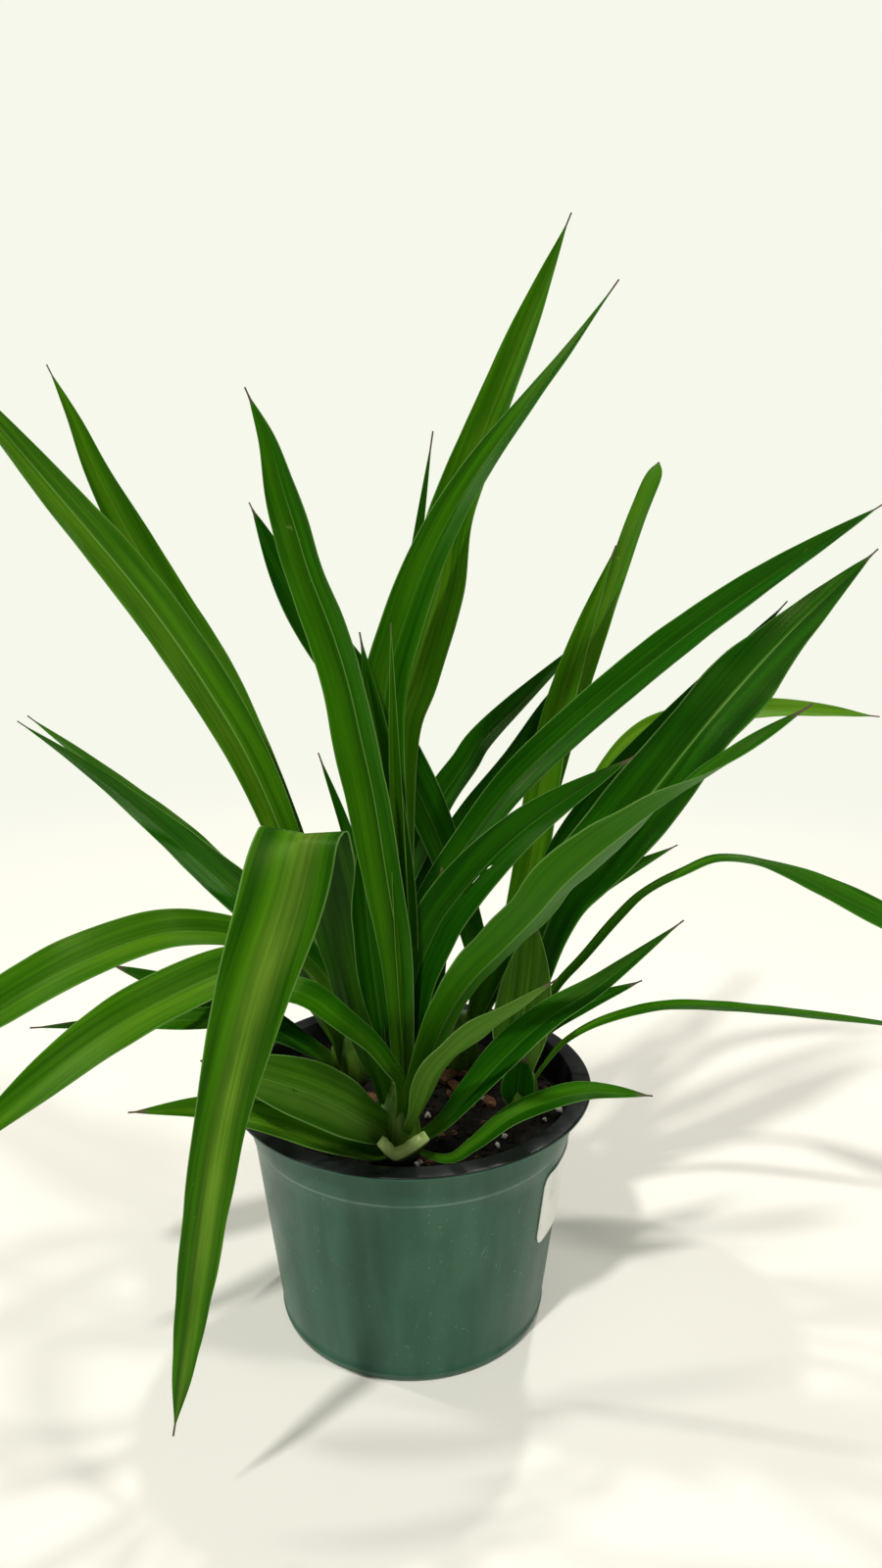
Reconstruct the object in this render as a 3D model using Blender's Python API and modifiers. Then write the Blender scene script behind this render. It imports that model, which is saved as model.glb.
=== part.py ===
"""A young potted yucca: four leafy crowns in a filled, two-colour nursery pot.

Metres, +Z up. The origin is the centre of the pot's underside. The viewer of the
plant stands at -Y and looks along +Y, with +X to the right.
"""

import math
from dataclasses import dataclass

import bmesh
import bpy
from mathutils import Vector, noise

# Pot: a 6.5 inch azalea pot, 4.5 inches high
RIM_RADIUS = 0.0825
POT_HEIGHT = 0.114
BASE_RADIUS = 0.0615
WALL_SLOPE = 0.122
WALL = 0.0014
LIP_THICKNESS = 0.0018
STEP_HEIGHT = 0.0945
STEP_OUT = 0.0007
BASE_RING_HEIGHT = 0.004
BASE_RING_OUT = 0.0005
FLOOR = 0.0018
CHANNEL_INNER = 0.024
CHANNEL_OUTER = 0.053
CHANNEL_RISE = 0.0025
DRAIN_HOLES = 8
DRAIN_RADIUS = 0.0045
DRAIN_CIRCLE = 0.0385
DRAIN_SIDES = 12
DRAIN_CUT = 0.02
POT_SIDES = 56

# Soil
CLEARANCE = 0.0003
SOIL_LEVEL = 0.1015
SOIL_RINGS = 7
SOIL_SIDES = 56
SOIL_MOUND = 0.0012
SOIL_RELIEF = 0.0016
SOIL_GRAIN = 70.0
SOIL_FOOT = 0.010
SOIL_BOTTOM = CHANNEL_RISE + FLOOR + CLEARANCE + 0.0012
STEM_DEPTH = 0.024

# Label on the side of the pot
LABEL_LEFT = math.radians(59.0)
LABEL_RIGHT = math.radians(90.0)
LABEL_LOW = 0.0485
LABEL_HIGH = 0.0925
LABEL_CORNER = 0.006
LABEL_THICKNESS = 0.0006
LABEL_COLUMNS = 12

# Stems: their outline above the soil as shares of a crown's radius and height
STEM_SIDES = 12
STEM_OUTLINE = ((0.0, 1.0), (0.45, 0.93), (0.80, 0.62), (1.0, 0.34))
STEM_FOOT_SHARE = 0.82

# Leaves
BLADE = 0.0009
TIP_WIDTH = 0.0014
ROOT_OFFSET = 0.35
ROOT_RISE = 0.3
ROOT_LOW = 0.005
ROOT_HIGH = 0.55
CURVE_PARTS = 12

# Base of an outer leaf that was cut off
STUB_CROWN = "front_crown"
STUB_KEEL = ((-0.0045, -0.0510, 0.1060), (-0.0048, -0.0565, 0.1085), (-0.0050, -0.0590, 0.1125))
STUB_ARMS = (0.0085, 0.0125)
STUB_REACH_BACK = 0.0065
STUB_LIFT = 0.0045
STUB_WALL = 0.0026


@dataclass(frozen=True)
class Crown:
    """A leafy stem: where it stands in the soil, and how thick and tall its stem is."""

    name: str
    at: tuple
    radius: float
    height: float


@dataclass(frozen=True)
class Leaf:
    """A strap leaf.

    route: the points its midrib passes after it leaves the stem.
    width: its width at the widest place, measured along the folded blade.
    looks: where its upper face looks, from the root to the tip.
    fold: how far each half of the blade rises from flat, in degrees.
    widest: where along the leaf it is widest, as a share of its length.
    taper: how full the blade stays between there and its point.
    root: its width where it leaves the stem, as a share of its full width.
    step: how far apart its cross-sections are.
    """

    name: str
    route: tuple
    width: float
    looks: tuple
    fold: float = 24.0
    widest: float = 0.45
    taper: float = 2.1
    root: float = 0.42
    step: float = 0.021


CROWNS = (
    Crown("front_crown", (-0.004, -0.046), 0.0090, 0.034),
    Crown("left_crown", (-0.030, 0.018), 0.0090, 0.030),
    Crown("back_crown", (0.024, 0.030), 0.0080, 0.030),
    Crown("right_crown", (0.050, -0.004), 0.0080, 0.022),
)

LEAVES = {
    "front_crown": (
        Leaf("bent_over", (
            (-0.013, -0.047, 0.134), (-0.020, -0.051, 0.150), (-0.028, -0.060, 0.179),
            (-0.031, -0.078, 0.216), (-0.032, -0.093, 0.245), (-0.032, -0.104, 0.261),
            (-0.033, -0.109, 0.265), (-0.035, -0.115, 0.261), (-0.040, -0.125, 0.244),
            (-0.048, -0.135, 0.216), (-0.058, -0.140, 0.178), (-0.069, -0.143, 0.128),
            (-0.076, -0.143, 0.088), (-0.082, -0.141, 0.047)),
            0.0300, ((0.2, 1, 0.2), (0.2, 1, 0.2), (0.1, 0.9, 0.5), (0, 0, 1), (0.1, -1, 0.2),
                     (0.1, -1, 0), (0.1, -1, 0), (0.2, -1, 0)),
            fold=16, widest=0.42, taper=1.15, step=0.011),
        Leaf("centre_broad", (
            (-0.004, -0.045, 0.146), (-0.006, -0.044, 0.190), (-0.010, -0.043, 0.224),
            (-0.015, -0.041, 0.256), (-0.020, -0.039, 0.280), (-0.025, -0.036, 0.303),
            (-0.030, -0.033, 0.321), (-0.041, -0.025, 0.355), (-0.048, -0.019, 0.378),
            (-0.063, -0.010, 0.416)),
            0.0265, ((0.2, -1, 0.2), (0.4, -1, 0.2)), fold=26, widest=0.5, taper=1.9),
        Leaf("centre_narrow", (
            (-0.002, -0.040, 0.160), (-0.004, -0.036, 0.215), (-0.010, -0.030, 0.270),
            (-0.019, -0.022, 0.322)),
            0.0160, ((0.2, -1, 0.1),), fold=26),
        Leaf("centre_young", (
            (-0.001, -0.044, 0.153), (-0.003, -0.042, 0.221), (-0.005, -0.038, 0.280),
            (-0.006, -0.034, 0.327)),
            0.0090, ((0, -1, 0.1),), fold=48),
        Leaf("tallest", (
            (-0.006, -0.027, 0.200), (-0.007, -0.006, 0.271), (0.001, 0.003, 0.300),
            (0.012, 0.012, 0.336), (0.019, 0.020, 0.369), (0.043, 0.032, 0.429),
            (0.068, 0.042, 0.489)),
            0.0255, ((0, -1, 0.2), (-0.3, -1, 0.3)), fold=20, widest=0.45, taper=1.7),
        Leaf("tall_front", (
            (-0.005, -0.032, 0.205), (-0.010, -0.023, 0.270), (-0.009, -0.019, 0.299),
            (-0.003, -0.015, 0.321), (0.008, -0.008, 0.350), (0.025, 0.000, 0.380),
            (0.047, 0.008, 0.409), (0.067, 0.016, 0.434), (0.086, 0.022, 0.460)),
            0.0200, ((0.2, -1, 0.2), (0, -1, 0.3), (-0.8, -0.7, 0.5)),
            fold=24, widest=0.45, taper=1.3),
        Leaf("behind_bend", (
            (-0.012, -0.038, 0.160), (-0.017, -0.032, 0.200), (-0.020, -0.028, 0.240)),
            0.0180, ((0.1, -1, 0.1),)),
        Leaf("low_left_long", (
            (-0.006, -0.058, 0.143), (-0.011, -0.065, 0.161), (-0.021, -0.070, 0.178),
            (-0.043, -0.070, 0.188), (-0.056, -0.066, 0.177), (-0.067, -0.057, 0.170),
            (-0.082, -0.048, 0.166), (-0.110, -0.042, 0.162), (-0.165, -0.030, 0.154)),
            0.0190, ((0.2, -0.6, 0.8), (0, -0.5, 0.9)), fold=18),
        Leaf("low_left_curled", (
            (-0.013, -0.058, 0.109), (-0.028, -0.066, 0.119), (-0.049, -0.073, 0.132),
            (-0.064, -0.077, 0.139), (-0.080, -0.081, 0.144), (-0.107, -0.086, 0.145)),
            0.0150, ((0.1, -0.4, 0.9), (0, -0.5, 0.9)), fold=18),
        Leaf("low_left_torn", (
            (-0.009, -0.055, 0.118), (-0.018, -0.062, 0.128), (-0.029, -0.070, 0.140),
            (-0.044, -0.077, 0.151), (-0.078, -0.086, 0.167)),
            0.0280, ((0.2, -0.7, 0.7), (0.1, -0.6, 0.8)), fold=12, widest=0.5),
        Leaf("right_long_strap", (
            (-0.002, -0.038, 0.165), (0.006, -0.024, 0.202), (0.028, -0.008, 0.234),
            (0.053, 0.002, 0.262), (0.100, 0.018, 0.300), (0.147, 0.033, 0.332),
            (0.213, 0.050, 0.371)),
            0.0220, ((0, -0.9, 0.4), (-0.2, -0.6, 0.8)), widest=0.5),
        Leaf("right_front_broad", (
            (0.004, -0.055, 0.139), (0.013, -0.063, 0.170), (0.023, -0.072, 0.193),
            (0.036, -0.083, 0.213), (0.047, -0.093, 0.230), (0.058, -0.103, 0.248),
            (0.082, -0.119, 0.276), (0.104, -0.125, 0.293), (0.130, -0.130, 0.313)),
            0.0260, ((-0.5, 0.9, 0.2), (-0.5, 0.9, 0.1), (-0.5, 0.8, 0), (-0.5, -0.6, 0.8)),
            fold=18, widest=0.55),
        Leaf("right_torn", (
            (0.001, -0.042, 0.172), (0.010, -0.039, 0.199), (0.020, -0.037, 0.215),
            (0.038, -0.034, 0.235), (0.058, -0.031, 0.251), (0.093, -0.025, 0.272)),
            0.0235, ((-0.2, -0.9, 0.4), (-0.3, -0.7, 0.7)), fold=20),
        Leaf("right_low_pointed", (
            (0.013, -0.052, 0.119), (0.026, -0.057, 0.138), (0.041, -0.059, 0.157),
            (0.057, -0.058, 0.172), (0.078, -0.055, 0.185), (0.111, -0.050, 0.210)),
            0.0170, ((-0.3, -0.5, 0.8),), fold=20, taper=1.4),
        Leaf("right_lowest", (
            (0.016, -0.061, 0.109), (0.027, -0.060, 0.115), (0.042, -0.057, 0.126),
            (0.058, -0.054, 0.132), (0.076, -0.050, 0.134), (0.103, -0.045, 0.129)),
            0.0110, ((-0.1, -0.5, 0.9),), fold=20),
        Leaf("right_pale_underside", (
            (0.004, -0.059, 0.130), (0.010, -0.068, 0.152), (0.021, -0.077, 0.170),
            (0.039, -0.087, 0.188), (0.056, -0.096, 0.205)),
            0.0150, ((-0.6, 0.8, -0.1),), fold=14),
        Leaf("inner_dark", (
            (0.004, -0.038, 0.160), (0.010, -0.033, 0.195), (0.014, -0.028, 0.225)),
            0.0180, ((0, -1, 0.3),)),
    ),
    "left_crown": (
        Leaf("left_past_frame", (
            (-0.037, 0.022, 0.147), (-0.051, 0.032, 0.183), (-0.062, 0.043, 0.218),
            (-0.086, 0.060, 0.265), (-0.128, 0.086, 0.321), (-0.181, 0.110, 0.379),
            (-0.243, 0.130, 0.448)),
            0.0250, ((0.3, -0.9, 0.3), (0.3, -0.8, 0.5)), fold=20, widest=0.55),
        Leaf("left_behind", (
            (-0.036, 0.034, 0.140), (-0.043, 0.042, 0.165), (-0.065, 0.062, 0.217),
            (-0.099, 0.093, 0.281), (-0.125, 0.110, 0.320), (-0.158, 0.124, 0.378),
            (-0.172, 0.128, 0.411), (-0.184, 0.130, 0.437)),
            0.0250, ((0.3, -0.9, 0.3), (0.5, -0.8, 0.3)), fold=20, widest=0.55, taper=2.1),
        Leaf("left_middle", (
            (-0.040, 0.014, 0.150), (-0.060, 0.017, 0.178), (-0.086, 0.026, 0.198),
            (-0.129, 0.058, 0.222), (-0.168, 0.082, 0.243), (-0.204, 0.100, 0.261)),
            0.0240, ((0.2, -0.6, 0.8),), fold=26),
        Leaf("left_middle_behind", (
            (-0.040, 0.026, 0.144), (-0.059, 0.032, 0.172), (-0.084, 0.040, 0.193),
            (-0.113, 0.058, 0.213), (-0.143, 0.076, 0.230), (-0.171, 0.091, 0.246),
            (-0.200, 0.104, 0.263)),
            0.0130, ((0.2, -0.6, 0.8),), fold=22),
        Leaf("left_arch_high", (
            (-0.038, 0.008, 0.149), (-0.049, -0.002, 0.171), (-0.063, -0.012, 0.185),
            (-0.084, -0.025, 0.196), (-0.108, -0.038, 0.199), (-0.145, -0.052, 0.187),
            (-0.189, -0.058, 0.160)),
            0.0270, ((0.2, -0.5, 0.8), (0, -0.5, 0.9)), fold=18, widest=0.85,
            root=0.3),
        Leaf("left_arch_low", (
            (-0.036, 0.007, 0.130), (-0.045, -0.014, 0.161), (-0.054, -0.032, 0.182),
            (-0.069, -0.050, 0.190), (-0.092, -0.071, 0.187), (-0.115, -0.088, 0.178),
            (-0.148, -0.105, 0.155), (-0.170, -0.110, 0.135)),
            0.0230, ((0.2, -0.6, 0.8), (0, -0.6, 0.8)), fold=16, widest=0.6),
        Leaf("left_low_dark", (
            (-0.046, 0.010, 0.122), (-0.063, 0.002, 0.137), (-0.090, -0.005, 0.154),
            (-0.133, -0.010, 0.174)),
            0.0180, ((0.1, -0.5, 0.9),), fold=20),
        Leaf("back_needle", (
            (-0.020, 0.024, 0.160), (-0.014, 0.032, 0.220), (-0.006, 0.040, 0.290),
            (-0.000, 0.045, 0.334), (0.010, 0.052, 0.402)),
            0.0100, ((0, -1, 0.1),), fold=30),
        Leaf("back_thin", (
            (-0.024, 0.022, 0.160), (-0.030, 0.032, 0.210), (-0.044, 0.045, 0.257)),
            0.0090, ((0.2, -1, 0.2),)),
        Leaf("behind_centre", (
            (-0.020, 0.024, 0.150), (-0.008, 0.040, 0.190), (0.011, 0.058, 0.227),
            (0.025, 0.064, 0.247), (0.038, 0.069, 0.264), (0.087, 0.085, 0.308)),
            0.0170, ((-0.2, -0.9, 0.4),)),
        Leaf("behind_centre_low", (
            (-0.014, 0.030, 0.154), (0.004, 0.044, 0.191), (0.028, 0.058, 0.223),
            (0.051, 0.066, 0.249), (0.069, 0.072, 0.278), (0.083, 0.076, 0.295)),
            0.0150, ((-0.2, -0.9, 0.4),), widest=0.7),
    ),
    "back_crown": (
        Leaf("back_left", (
            (0.032, 0.030, 0.150), (0.025, 0.034, 0.183), (0.006, 0.045, 0.232),
            (-0.021, 0.054, 0.279), (-0.052, 0.060, 0.323), (-0.075, 0.065, 0.371)),
            0.0230, ((0.2, -1, 0.1), (0.5, -1, 0.2)), fold=22, widest=0.6, taper=2.8),
        Leaf("back_right_bent", (
            (0.036, 0.036, 0.140), (0.052, 0.044, 0.170), (0.070, 0.066, 0.236),
            (0.086, 0.084, 0.292), (0.105, 0.105, 0.348), (0.120, 0.122, 0.380),
            (0.124, 0.130, 0.388), (0.129, 0.142, 0.384), (0.132, 0.152, 0.370)),
            0.0140, ((-0.3, -1, 0.2), (-0.3, -1, 0.2), (-0.3, -0.9, 0.4), (-0.2, 0.3, 1)),
            fold=20, widest=0.5, taper=2.6),
        Leaf("back_right_upright", (
            (0.034, 0.032, 0.135), (0.043, 0.034, 0.150), (0.056, 0.042, 0.201),
            (0.066, 0.060, 0.257), (0.080, 0.076, 0.303), (0.099, 0.092, 0.350)),
            0.0185, ((-0.2, -1, 0.2),), fold=26),
        Leaf("back_right_level", (
            (0.044, 0.042, 0.145), (0.064, 0.048, 0.180), (0.089, 0.070, 0.228),
            (0.114, 0.092, 0.254), (0.146, 0.108, 0.262), (0.195, 0.118, 0.264),
            (0.247, 0.122, 0.259)),
            0.0180, ((-0.2, -0.8, 0.5), (0, -0.5, 0.9)), fold=20, widest=0.75, taper=2.4),
        Leaf("back_right_low", (
            (0.036, 0.028, 0.145), (0.047, 0.030, 0.168), (0.065, 0.034, 0.180),
            (0.100, 0.047, 0.196), (0.130, 0.060, 0.207)),
            0.0140, ((-0.2, -0.6, 0.8),), fold=20),
    ),
    "right_crown": (
        Leaf("right_very_broad", (
            (0.051, 0.000, 0.143), (0.058, -0.001, 0.180), (0.069, -0.002, 0.207),
            (0.091, -0.002, 0.232), (0.128, 0.007, 0.278), (0.163, 0.018, 0.315),
            (0.203, 0.026, 0.352)),
            0.0340, ((-0.3, -0.9, 0.4), (-0.4, -0.8, 0.5)), fold=14, widest=0.5),
        Leaf("right_behind_broad", (
            (0.054, 0.014, 0.150), (0.066, 0.026, 0.200), (0.086, 0.033, 0.233),
            (0.120, 0.041, 0.271), (0.154, 0.049, 0.306), (0.173, 0.052, 0.327)),
            0.0200, ((-0.4, -0.7, 0.6),)),
        Leaf("right_arch", (
            (0.063, 0.008, 0.148), (0.079, 0.010, 0.169), (0.102, 0.008, 0.198),
            (0.122, 0.003, 0.213), (0.138, -0.001, 0.220), (0.159, -0.006, 0.218),
            (0.190, -0.018, 0.206), (0.227, -0.030, 0.190)),
            0.0170, ((-0.3, -0.7, 0.6), (-0.2, -0.4, 0.9), (0, -0.2, 1), (0.4, -0.6, 0.8)),
            fold=16, widest=0.85, root=0.3),
        Leaf("right_short", (
            (0.059, 0.010, 0.129), (0.080, 0.015, 0.142), (0.109, 0.024, 0.151)),
            0.0100, ((-0.2, -0.5, 0.8),), fold=20),
        Leaf("right_low_arch", (
            (0.062, 0.004, 0.118), (0.073, 0.011, 0.127), (0.092, 0.016, 0.135),
            (0.120, 0.018, 0.141), (0.160, 0.012, 0.142), (0.215, -0.001, 0.141),
            (0.247, -0.010, 0.139)),
            0.0085, ((-0.1, -0.5, 0.9), (0, -0.3, 1), (0.1, -0.4, 0.9)), fold=16),
        Leaf("young_shoot", (
            (0.048, -0.013, 0.112), (0.050, -0.014, 0.133)),
            0.0170, ((-0.1, -1, 0.3),), fold=26, widest=0.4),
        Leaf("young_rolled", (
            (0.047, -0.013, 0.130), (0.048, -0.017, 0.170), (0.047, -0.019, 0.209)),
            0.0210, ((-0.2, -1, 0.1),), fold=30),
    ),
}


def clear_scene():
    """Empty the scene and drop what its objects leave behind."""
    for obj in list(bpy.data.objects):
        bpy.data.objects.remove(obj, do_unlink=True)
    for mesh in list(bpy.data.meshes):
        bpy.data.meshes.remove(mesh)
    for group in list(bpy.data.collections):
        bpy.data.collections.remove(group)


def new_collection(name):
    """A collection of that name in the scene."""
    group = bpy.data.collections.new(name)
    bpy.context.scene.collection.children.link(group)
    return group


def new_material(name, colour, roughness, metallic=0.0):
    """A material of one colour."""
    material = bpy.data.materials.new(name)
    material.use_nodes = True
    shader = material.node_tree.nodes["Principled BSDF"]
    shader.inputs["Base Color"].default_value = (*colour, 1.0)
    shader.inputs["Roughness"].default_value = roughness
    shader.inputs["Metallic"].default_value = metallic
    material.diffuse_color = (*colour, 1.0)
    return material


def new_object(name, bm, group, material=None):
    """An object whose mesh is that of bm."""
    mesh = bpy.data.meshes.new(name)
    bm.to_mesh(mesh)
    bm.free()
    obj = bpy.data.objects.new(name, mesh)
    group.objects.link(obj)
    if material:
        mesh.materials.append(material)
    return obj


def apply_modifiers(obj):
    """Keep the object's evaluated mesh and drop its modifiers."""
    depsgraph = bpy.context.evaluated_depsgraph_get()
    mesh = bpy.data.meshes.new_from_object(obj.evaluated_get(depsgraph), depsgraph=depsgraph)
    old = obj.data
    obj.modifiers.clear()
    obj.data = mesh
    mesh.name = obj.name
    bpy.data.meshes.remove(old)


def turned(name, profile, group, material, sides):
    """A solid turned about Z from a profile of (radius, height) points, outer side first."""
    bm = bmesh.new()
    verts = [bm.verts.new((radius, 0.0, height)) for radius, height in profile]
    for first, second in zip(verts, verts[1:]):
        bm.edges.new((first, second))
    obj = new_object(name, bm, group, material)
    screw = obj.modifiers.new("turn", "SCREW")
    screw.axis = "Z"
    screw.steps = sides
    screw.render_steps = sides
    screw.use_merge_vertices = True
    screw.merge_threshold = 0.00005
    screw.use_smooth_shade = True
    return obj


def wall_radius(height):
    """Outer radius of the pot's plain wall at a height."""
    return BASE_RADIUS + WALL_SLOPE * height


def inner_radius(height):
    """Inner radius of the pot's wall at a height."""
    return wall_radius(height) - WALL


def pot_profile():
    """The pot's outline: the lip and outer wall down, the underside in, the inside up."""
    top = POT_HEIGHT
    under_lip = top - LIP_THICKNESS
    outer = [
        (inner_radius(top), top - 0.0004),
        (inner_radius(top) + 0.0006, top),
        (RIM_RADIUS - 0.0008, top),
        (RIM_RADIUS, top - 0.0007),
        (RIM_RADIUS - 0.0002, under_lip),
        (wall_radius(under_lip) + STEP_OUT + 0.0012, under_lip - 0.0004),
        (wall_radius(under_lip) + STEP_OUT, under_lip - 0.0016),
        (wall_radius(STEP_HEIGHT) + STEP_OUT, STEP_HEIGHT),
        (wall_radius(STEP_HEIGHT), STEP_HEIGHT - 0.0008),
        (wall_radius(BASE_RING_HEIGHT), BASE_RING_HEIGHT + 0.0006),
        (wall_radius(BASE_RING_HEIGHT) + BASE_RING_OUT, BASE_RING_HEIGHT),
        (BASE_RADIUS + BASE_RING_OUT, 0.0016),
        (BASE_RADIUS - 0.0004, 0.0004),
        (BASE_RADIUS - 0.0018, 0.0),
        (CHANNEL_OUTER, 0.0),
        (CHANNEL_OUTER - 0.002, CHANNEL_RISE),
        (CHANNEL_INNER + 0.002, CHANNEL_RISE),
        (CHANNEL_INNER, 0.0),
        (0.0, 0.0),
    ]
    inner = [
        (0.0, FLOOR),
        (CHANNEL_INNER + 0.001, FLOOR),
        (CHANNEL_INNER + 0.003, CHANNEL_RISE + FLOOR),
        (CHANNEL_OUTER - 0.003, CHANNEL_RISE + FLOOR),
        (CHANNEL_OUTER, FLOOR),
        (inner_radius(0.004) - 0.0012, FLOOR + 0.0002),
        (inner_radius(0.005), 0.005),
        (inner_radius(top), top - 0.0004),
    ]
    return outer, inner


def build_pot(group, cutters, material):
    """The pot, turned in one piece, with drain holes through its raised channel."""
    outer, inner = pot_profile()
    pot = turned("pot", outer + inner, group, material, POT_SIDES)
    weld = pot.modifiers.new("weld", "WELD")
    weld.merge_threshold = 0.00005
    for index in range(DRAIN_HOLES):
        angle = math.tau * (index + 0.5) / DRAIN_HOLES
        bm = bmesh.new()
        bmesh.ops.create_cone(bm, cap_ends=True, segments=DRAIN_SIDES, radius1=DRAIN_RADIUS,
                              radius2=DRAIN_RADIUS, depth=DRAIN_CUT)
        hole = new_object(f"drain_hole_{index}", bm, cutters)
        hole.location = (DRAIN_CIRCLE * math.cos(angle), DRAIN_CIRCLE * math.sin(angle), 0.0)
        hole.hide_render = True
        hole.display_type = "WIRE"
        cut = pot.modifiers.new(f"drain_{index}", "BOOLEAN")
        cut.operation = "DIFFERENCE"
        cut.solver = "EXACT"
        cut.object = hole
    return pot


def soil_height(x, y):
    """Height of the potting mix: a low mound with coarse lumps that fade at the wall."""
    reach = math.hypot(x, y) / inner_radius(SOIL_LEVEL)
    fade = max(0.0, 1.0 - reach ** 6)
    lumps = noise.noise(Vector((x, y, 0.3)) * SOIL_GRAIN)
    return SOIL_LEVEL + fade * (SOIL_MOUND * (1.0 - reach * reach) + SOIL_RELIEF * lumps)


def stem_hole(name, x, y, radius, depth, cutters):
    """A round cutter for the place where a stem stands in the soil."""
    bm = bmesh.new()
    bmesh.ops.create_cone(bm, cap_ends=True, segments=STEM_SIDES * 2, radius1=radius,
                          radius2=radius, depth=2.0 * depth)
    hole = new_object(name, bm, cutters)
    hole.location = (x, y, SOIL_LEVEL)
    hole.hide_render = True
    hole.display_type = "WIRE"
    return hole


def build_soil(group, cutters, material):
    """The potting mix: it fills the pot and has a plain hole for each stem."""
    bm = bmesh.new()
    rings = []
    top_radius = inner_radius(SOIL_LEVEL) - CLEARANCE
    for ring in range(1, SOIL_RINGS + 1):
        radius = top_radius * (ring / SOIL_RINGS) ** 0.8
        row = []
        for side in range(SOIL_SIDES):
            angle = math.tau * side / SOIL_SIDES
            x, y = radius * math.cos(angle), radius * math.sin(angle)
            row.append(bm.verts.new((x, y, soil_height(x, y))))
        rings.append(row)
    below = [(inner_radius(SOIL_FOOT) - CLEARANCE, SOIL_FOOT),
             (CHANNEL_OUTER - 0.002, SOIL_BOTTOM)]
    for radius, height in below:
        rings.append([bm.verts.new((radius * math.cos(math.tau * side / SOIL_SIDES),
                                    radius * math.sin(math.tau * side / SOIL_SIDES), height))
                      for side in range(SOIL_SIDES)])
    middle = bm.verts.new((0.0, 0.0, soil_height(0.0, 0.0)))
    bottom = bm.verts.new((0.0, 0.0, SOIL_BOTTOM))
    for side in range(SOIL_SIDES):
        after = (side + 1) % SOIL_SIDES
        bm.faces.new((middle, rings[0][side], rings[0][after]))
        bm.faces.new((bottom, rings[-1][after], rings[-1][side]))
        for inner, outer in zip(rings, rings[1:]):
            bm.faces.new((inner[side], outer[side], outer[after], inner[after]))
    bmesh.ops.triangulate(bm, faces=bm.faces[:])
    soil = new_object("soil", bm, group, material)
    holes = [stem_hole(f"hole_{crown.name}", *crown.at, stem_foot(crown) + CLEARANCE,
                       STEM_DEPTH + CLEARANCE, cutters) for crown in CROWNS]
    for hole in holes:
        cut = soil.modifiers.new(hole.name, "BOOLEAN")
        cut.operation = "DIFFERENCE"
        cut.solver = "EXACT"
        cut.object = hole
    return soil


def stem_foot(crown):
    """Radius of a crown's stem where it stands in the soil."""
    return STEM_FOOT_SHARE * crown.radius


def build_stem(crown, group, material):
    """A crown's short stem, from its foot in the soil to the heart of the leaves."""
    foot = stem_foot(crown)
    low = SOIL_LEVEL - STEM_DEPTH
    profile = [(across * crown.radius, SOIL_LEVEL + up * crown.height)
               for across, up in STEM_OUTLINE]
    profile += [
        (foot, SOIL_LEVEL + 0.0045),
        (foot, low + 0.003),
        (0.72 * foot, low),
        (0.0, low),
    ]
    stem = turned(crown.name, profile, group, material, STEM_SIDES)
    apply_modifiers(stem)
    bm = bmesh.new()
    bm.from_mesh(stem.data)
    bmesh.ops.remove_doubles(bm, verts=bm.verts[:], dist=0.00005)
    bmesh.ops.translate(bm, verts=bm.verts[:], vec=(*crown.at, 0.0))
    bmesh.ops.triangulate(bm, faces=bm.faces[:])
    bm.to_mesh(stem.data)
    bm.free()
    return stem


def curve_points(points, step):
    """Points evenly spread, about a step apart, along a smooth curve through the points."""
    fine = []
    ends = [points[0] * 2 - points[1]] + list(points) + [points[-1] * 2 - points[-2]]
    for before, start, end, after in zip(ends, ends[1:], ends[2:], ends[3:]):
        for part in range(CURVE_PARTS):
            t = part / CURVE_PARTS
            fine.append(0.5 * (2 * start + (end - before) * t
                               + (2 * before - 5 * start + 4 * end - after) * t * t
                               + (3 * start - before - 3 * end + after) * t ** 3))
    fine.append(points[-1])
    lengths = [0.0]
    for first, second in zip(fine, fine[1:]):
        lengths.append(lengths[-1] + (second - first).length)
    count = max(4, round(lengths[-1] / step))
    spread = []
    place = 0
    for index in range(count + 1):
        wanted = lengths[-1] * index / count
        while place < len(fine) - 2 and lengths[place + 1] < wanted:
            place += 1
        share = (wanted - lengths[place]) / (lengths[place + 1] - lengths[place])
        spread.append(fine[place].lerp(fine[place + 1], min(1.0, share)))
    return spread


def leaf_route(leaf, crown):
    """The leaf's whole midrib: its root in the stem, then its route."""
    first = Vector(leaf.route[0])
    away = Vector((first.x - crown.at[0], first.y - crown.at[1], 0.0))
    if away.length > 0.0001:
        away = away.normalized() * ROOT_OFFSET * crown.radius
    rise = ROOT_RISE * (first.z - SOIL_LEVEL)
    rise = min(max(rise, ROOT_LOW), ROOT_HIGH * crown.height)
    root = Vector((*crown.at, SOIL_LEVEL + rise)) + away
    return [root] + [Vector(point) for point in leaf.route]


def half_width(leaf, t):
    """Half the blade's width at a share t of its length."""
    if t < leaf.widest:
        rise = t / leaf.widest
        rise = rise * rise * (3.0 - 2.0 * rise)
        share = leaf.root + (1.0 - leaf.root) * rise
    else:
        fall = (t - leaf.widest) / (1.0 - leaf.widest)
        share = 1.0 - fall ** leaf.taper
    return max(0.5 * TIP_WIDTH, 0.5 * leaf.width * share)


def upper_side(leaf, t, tangent):
    """Unit vector square to the midrib, towards which the leaf's upper face looks."""
    looks = [Vector(look).normalized() for look in leaf.looks]
    place = t * (len(looks) - 1)
    index = min(int(place), len(looks) - 2) if len(looks) > 1 else 0
    look = looks[0] if len(looks) == 1 else looks[index].lerp(looks[index + 1], place - index)
    look = look - tangent * look.dot(tangent)
    return look.normalized()


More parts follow.
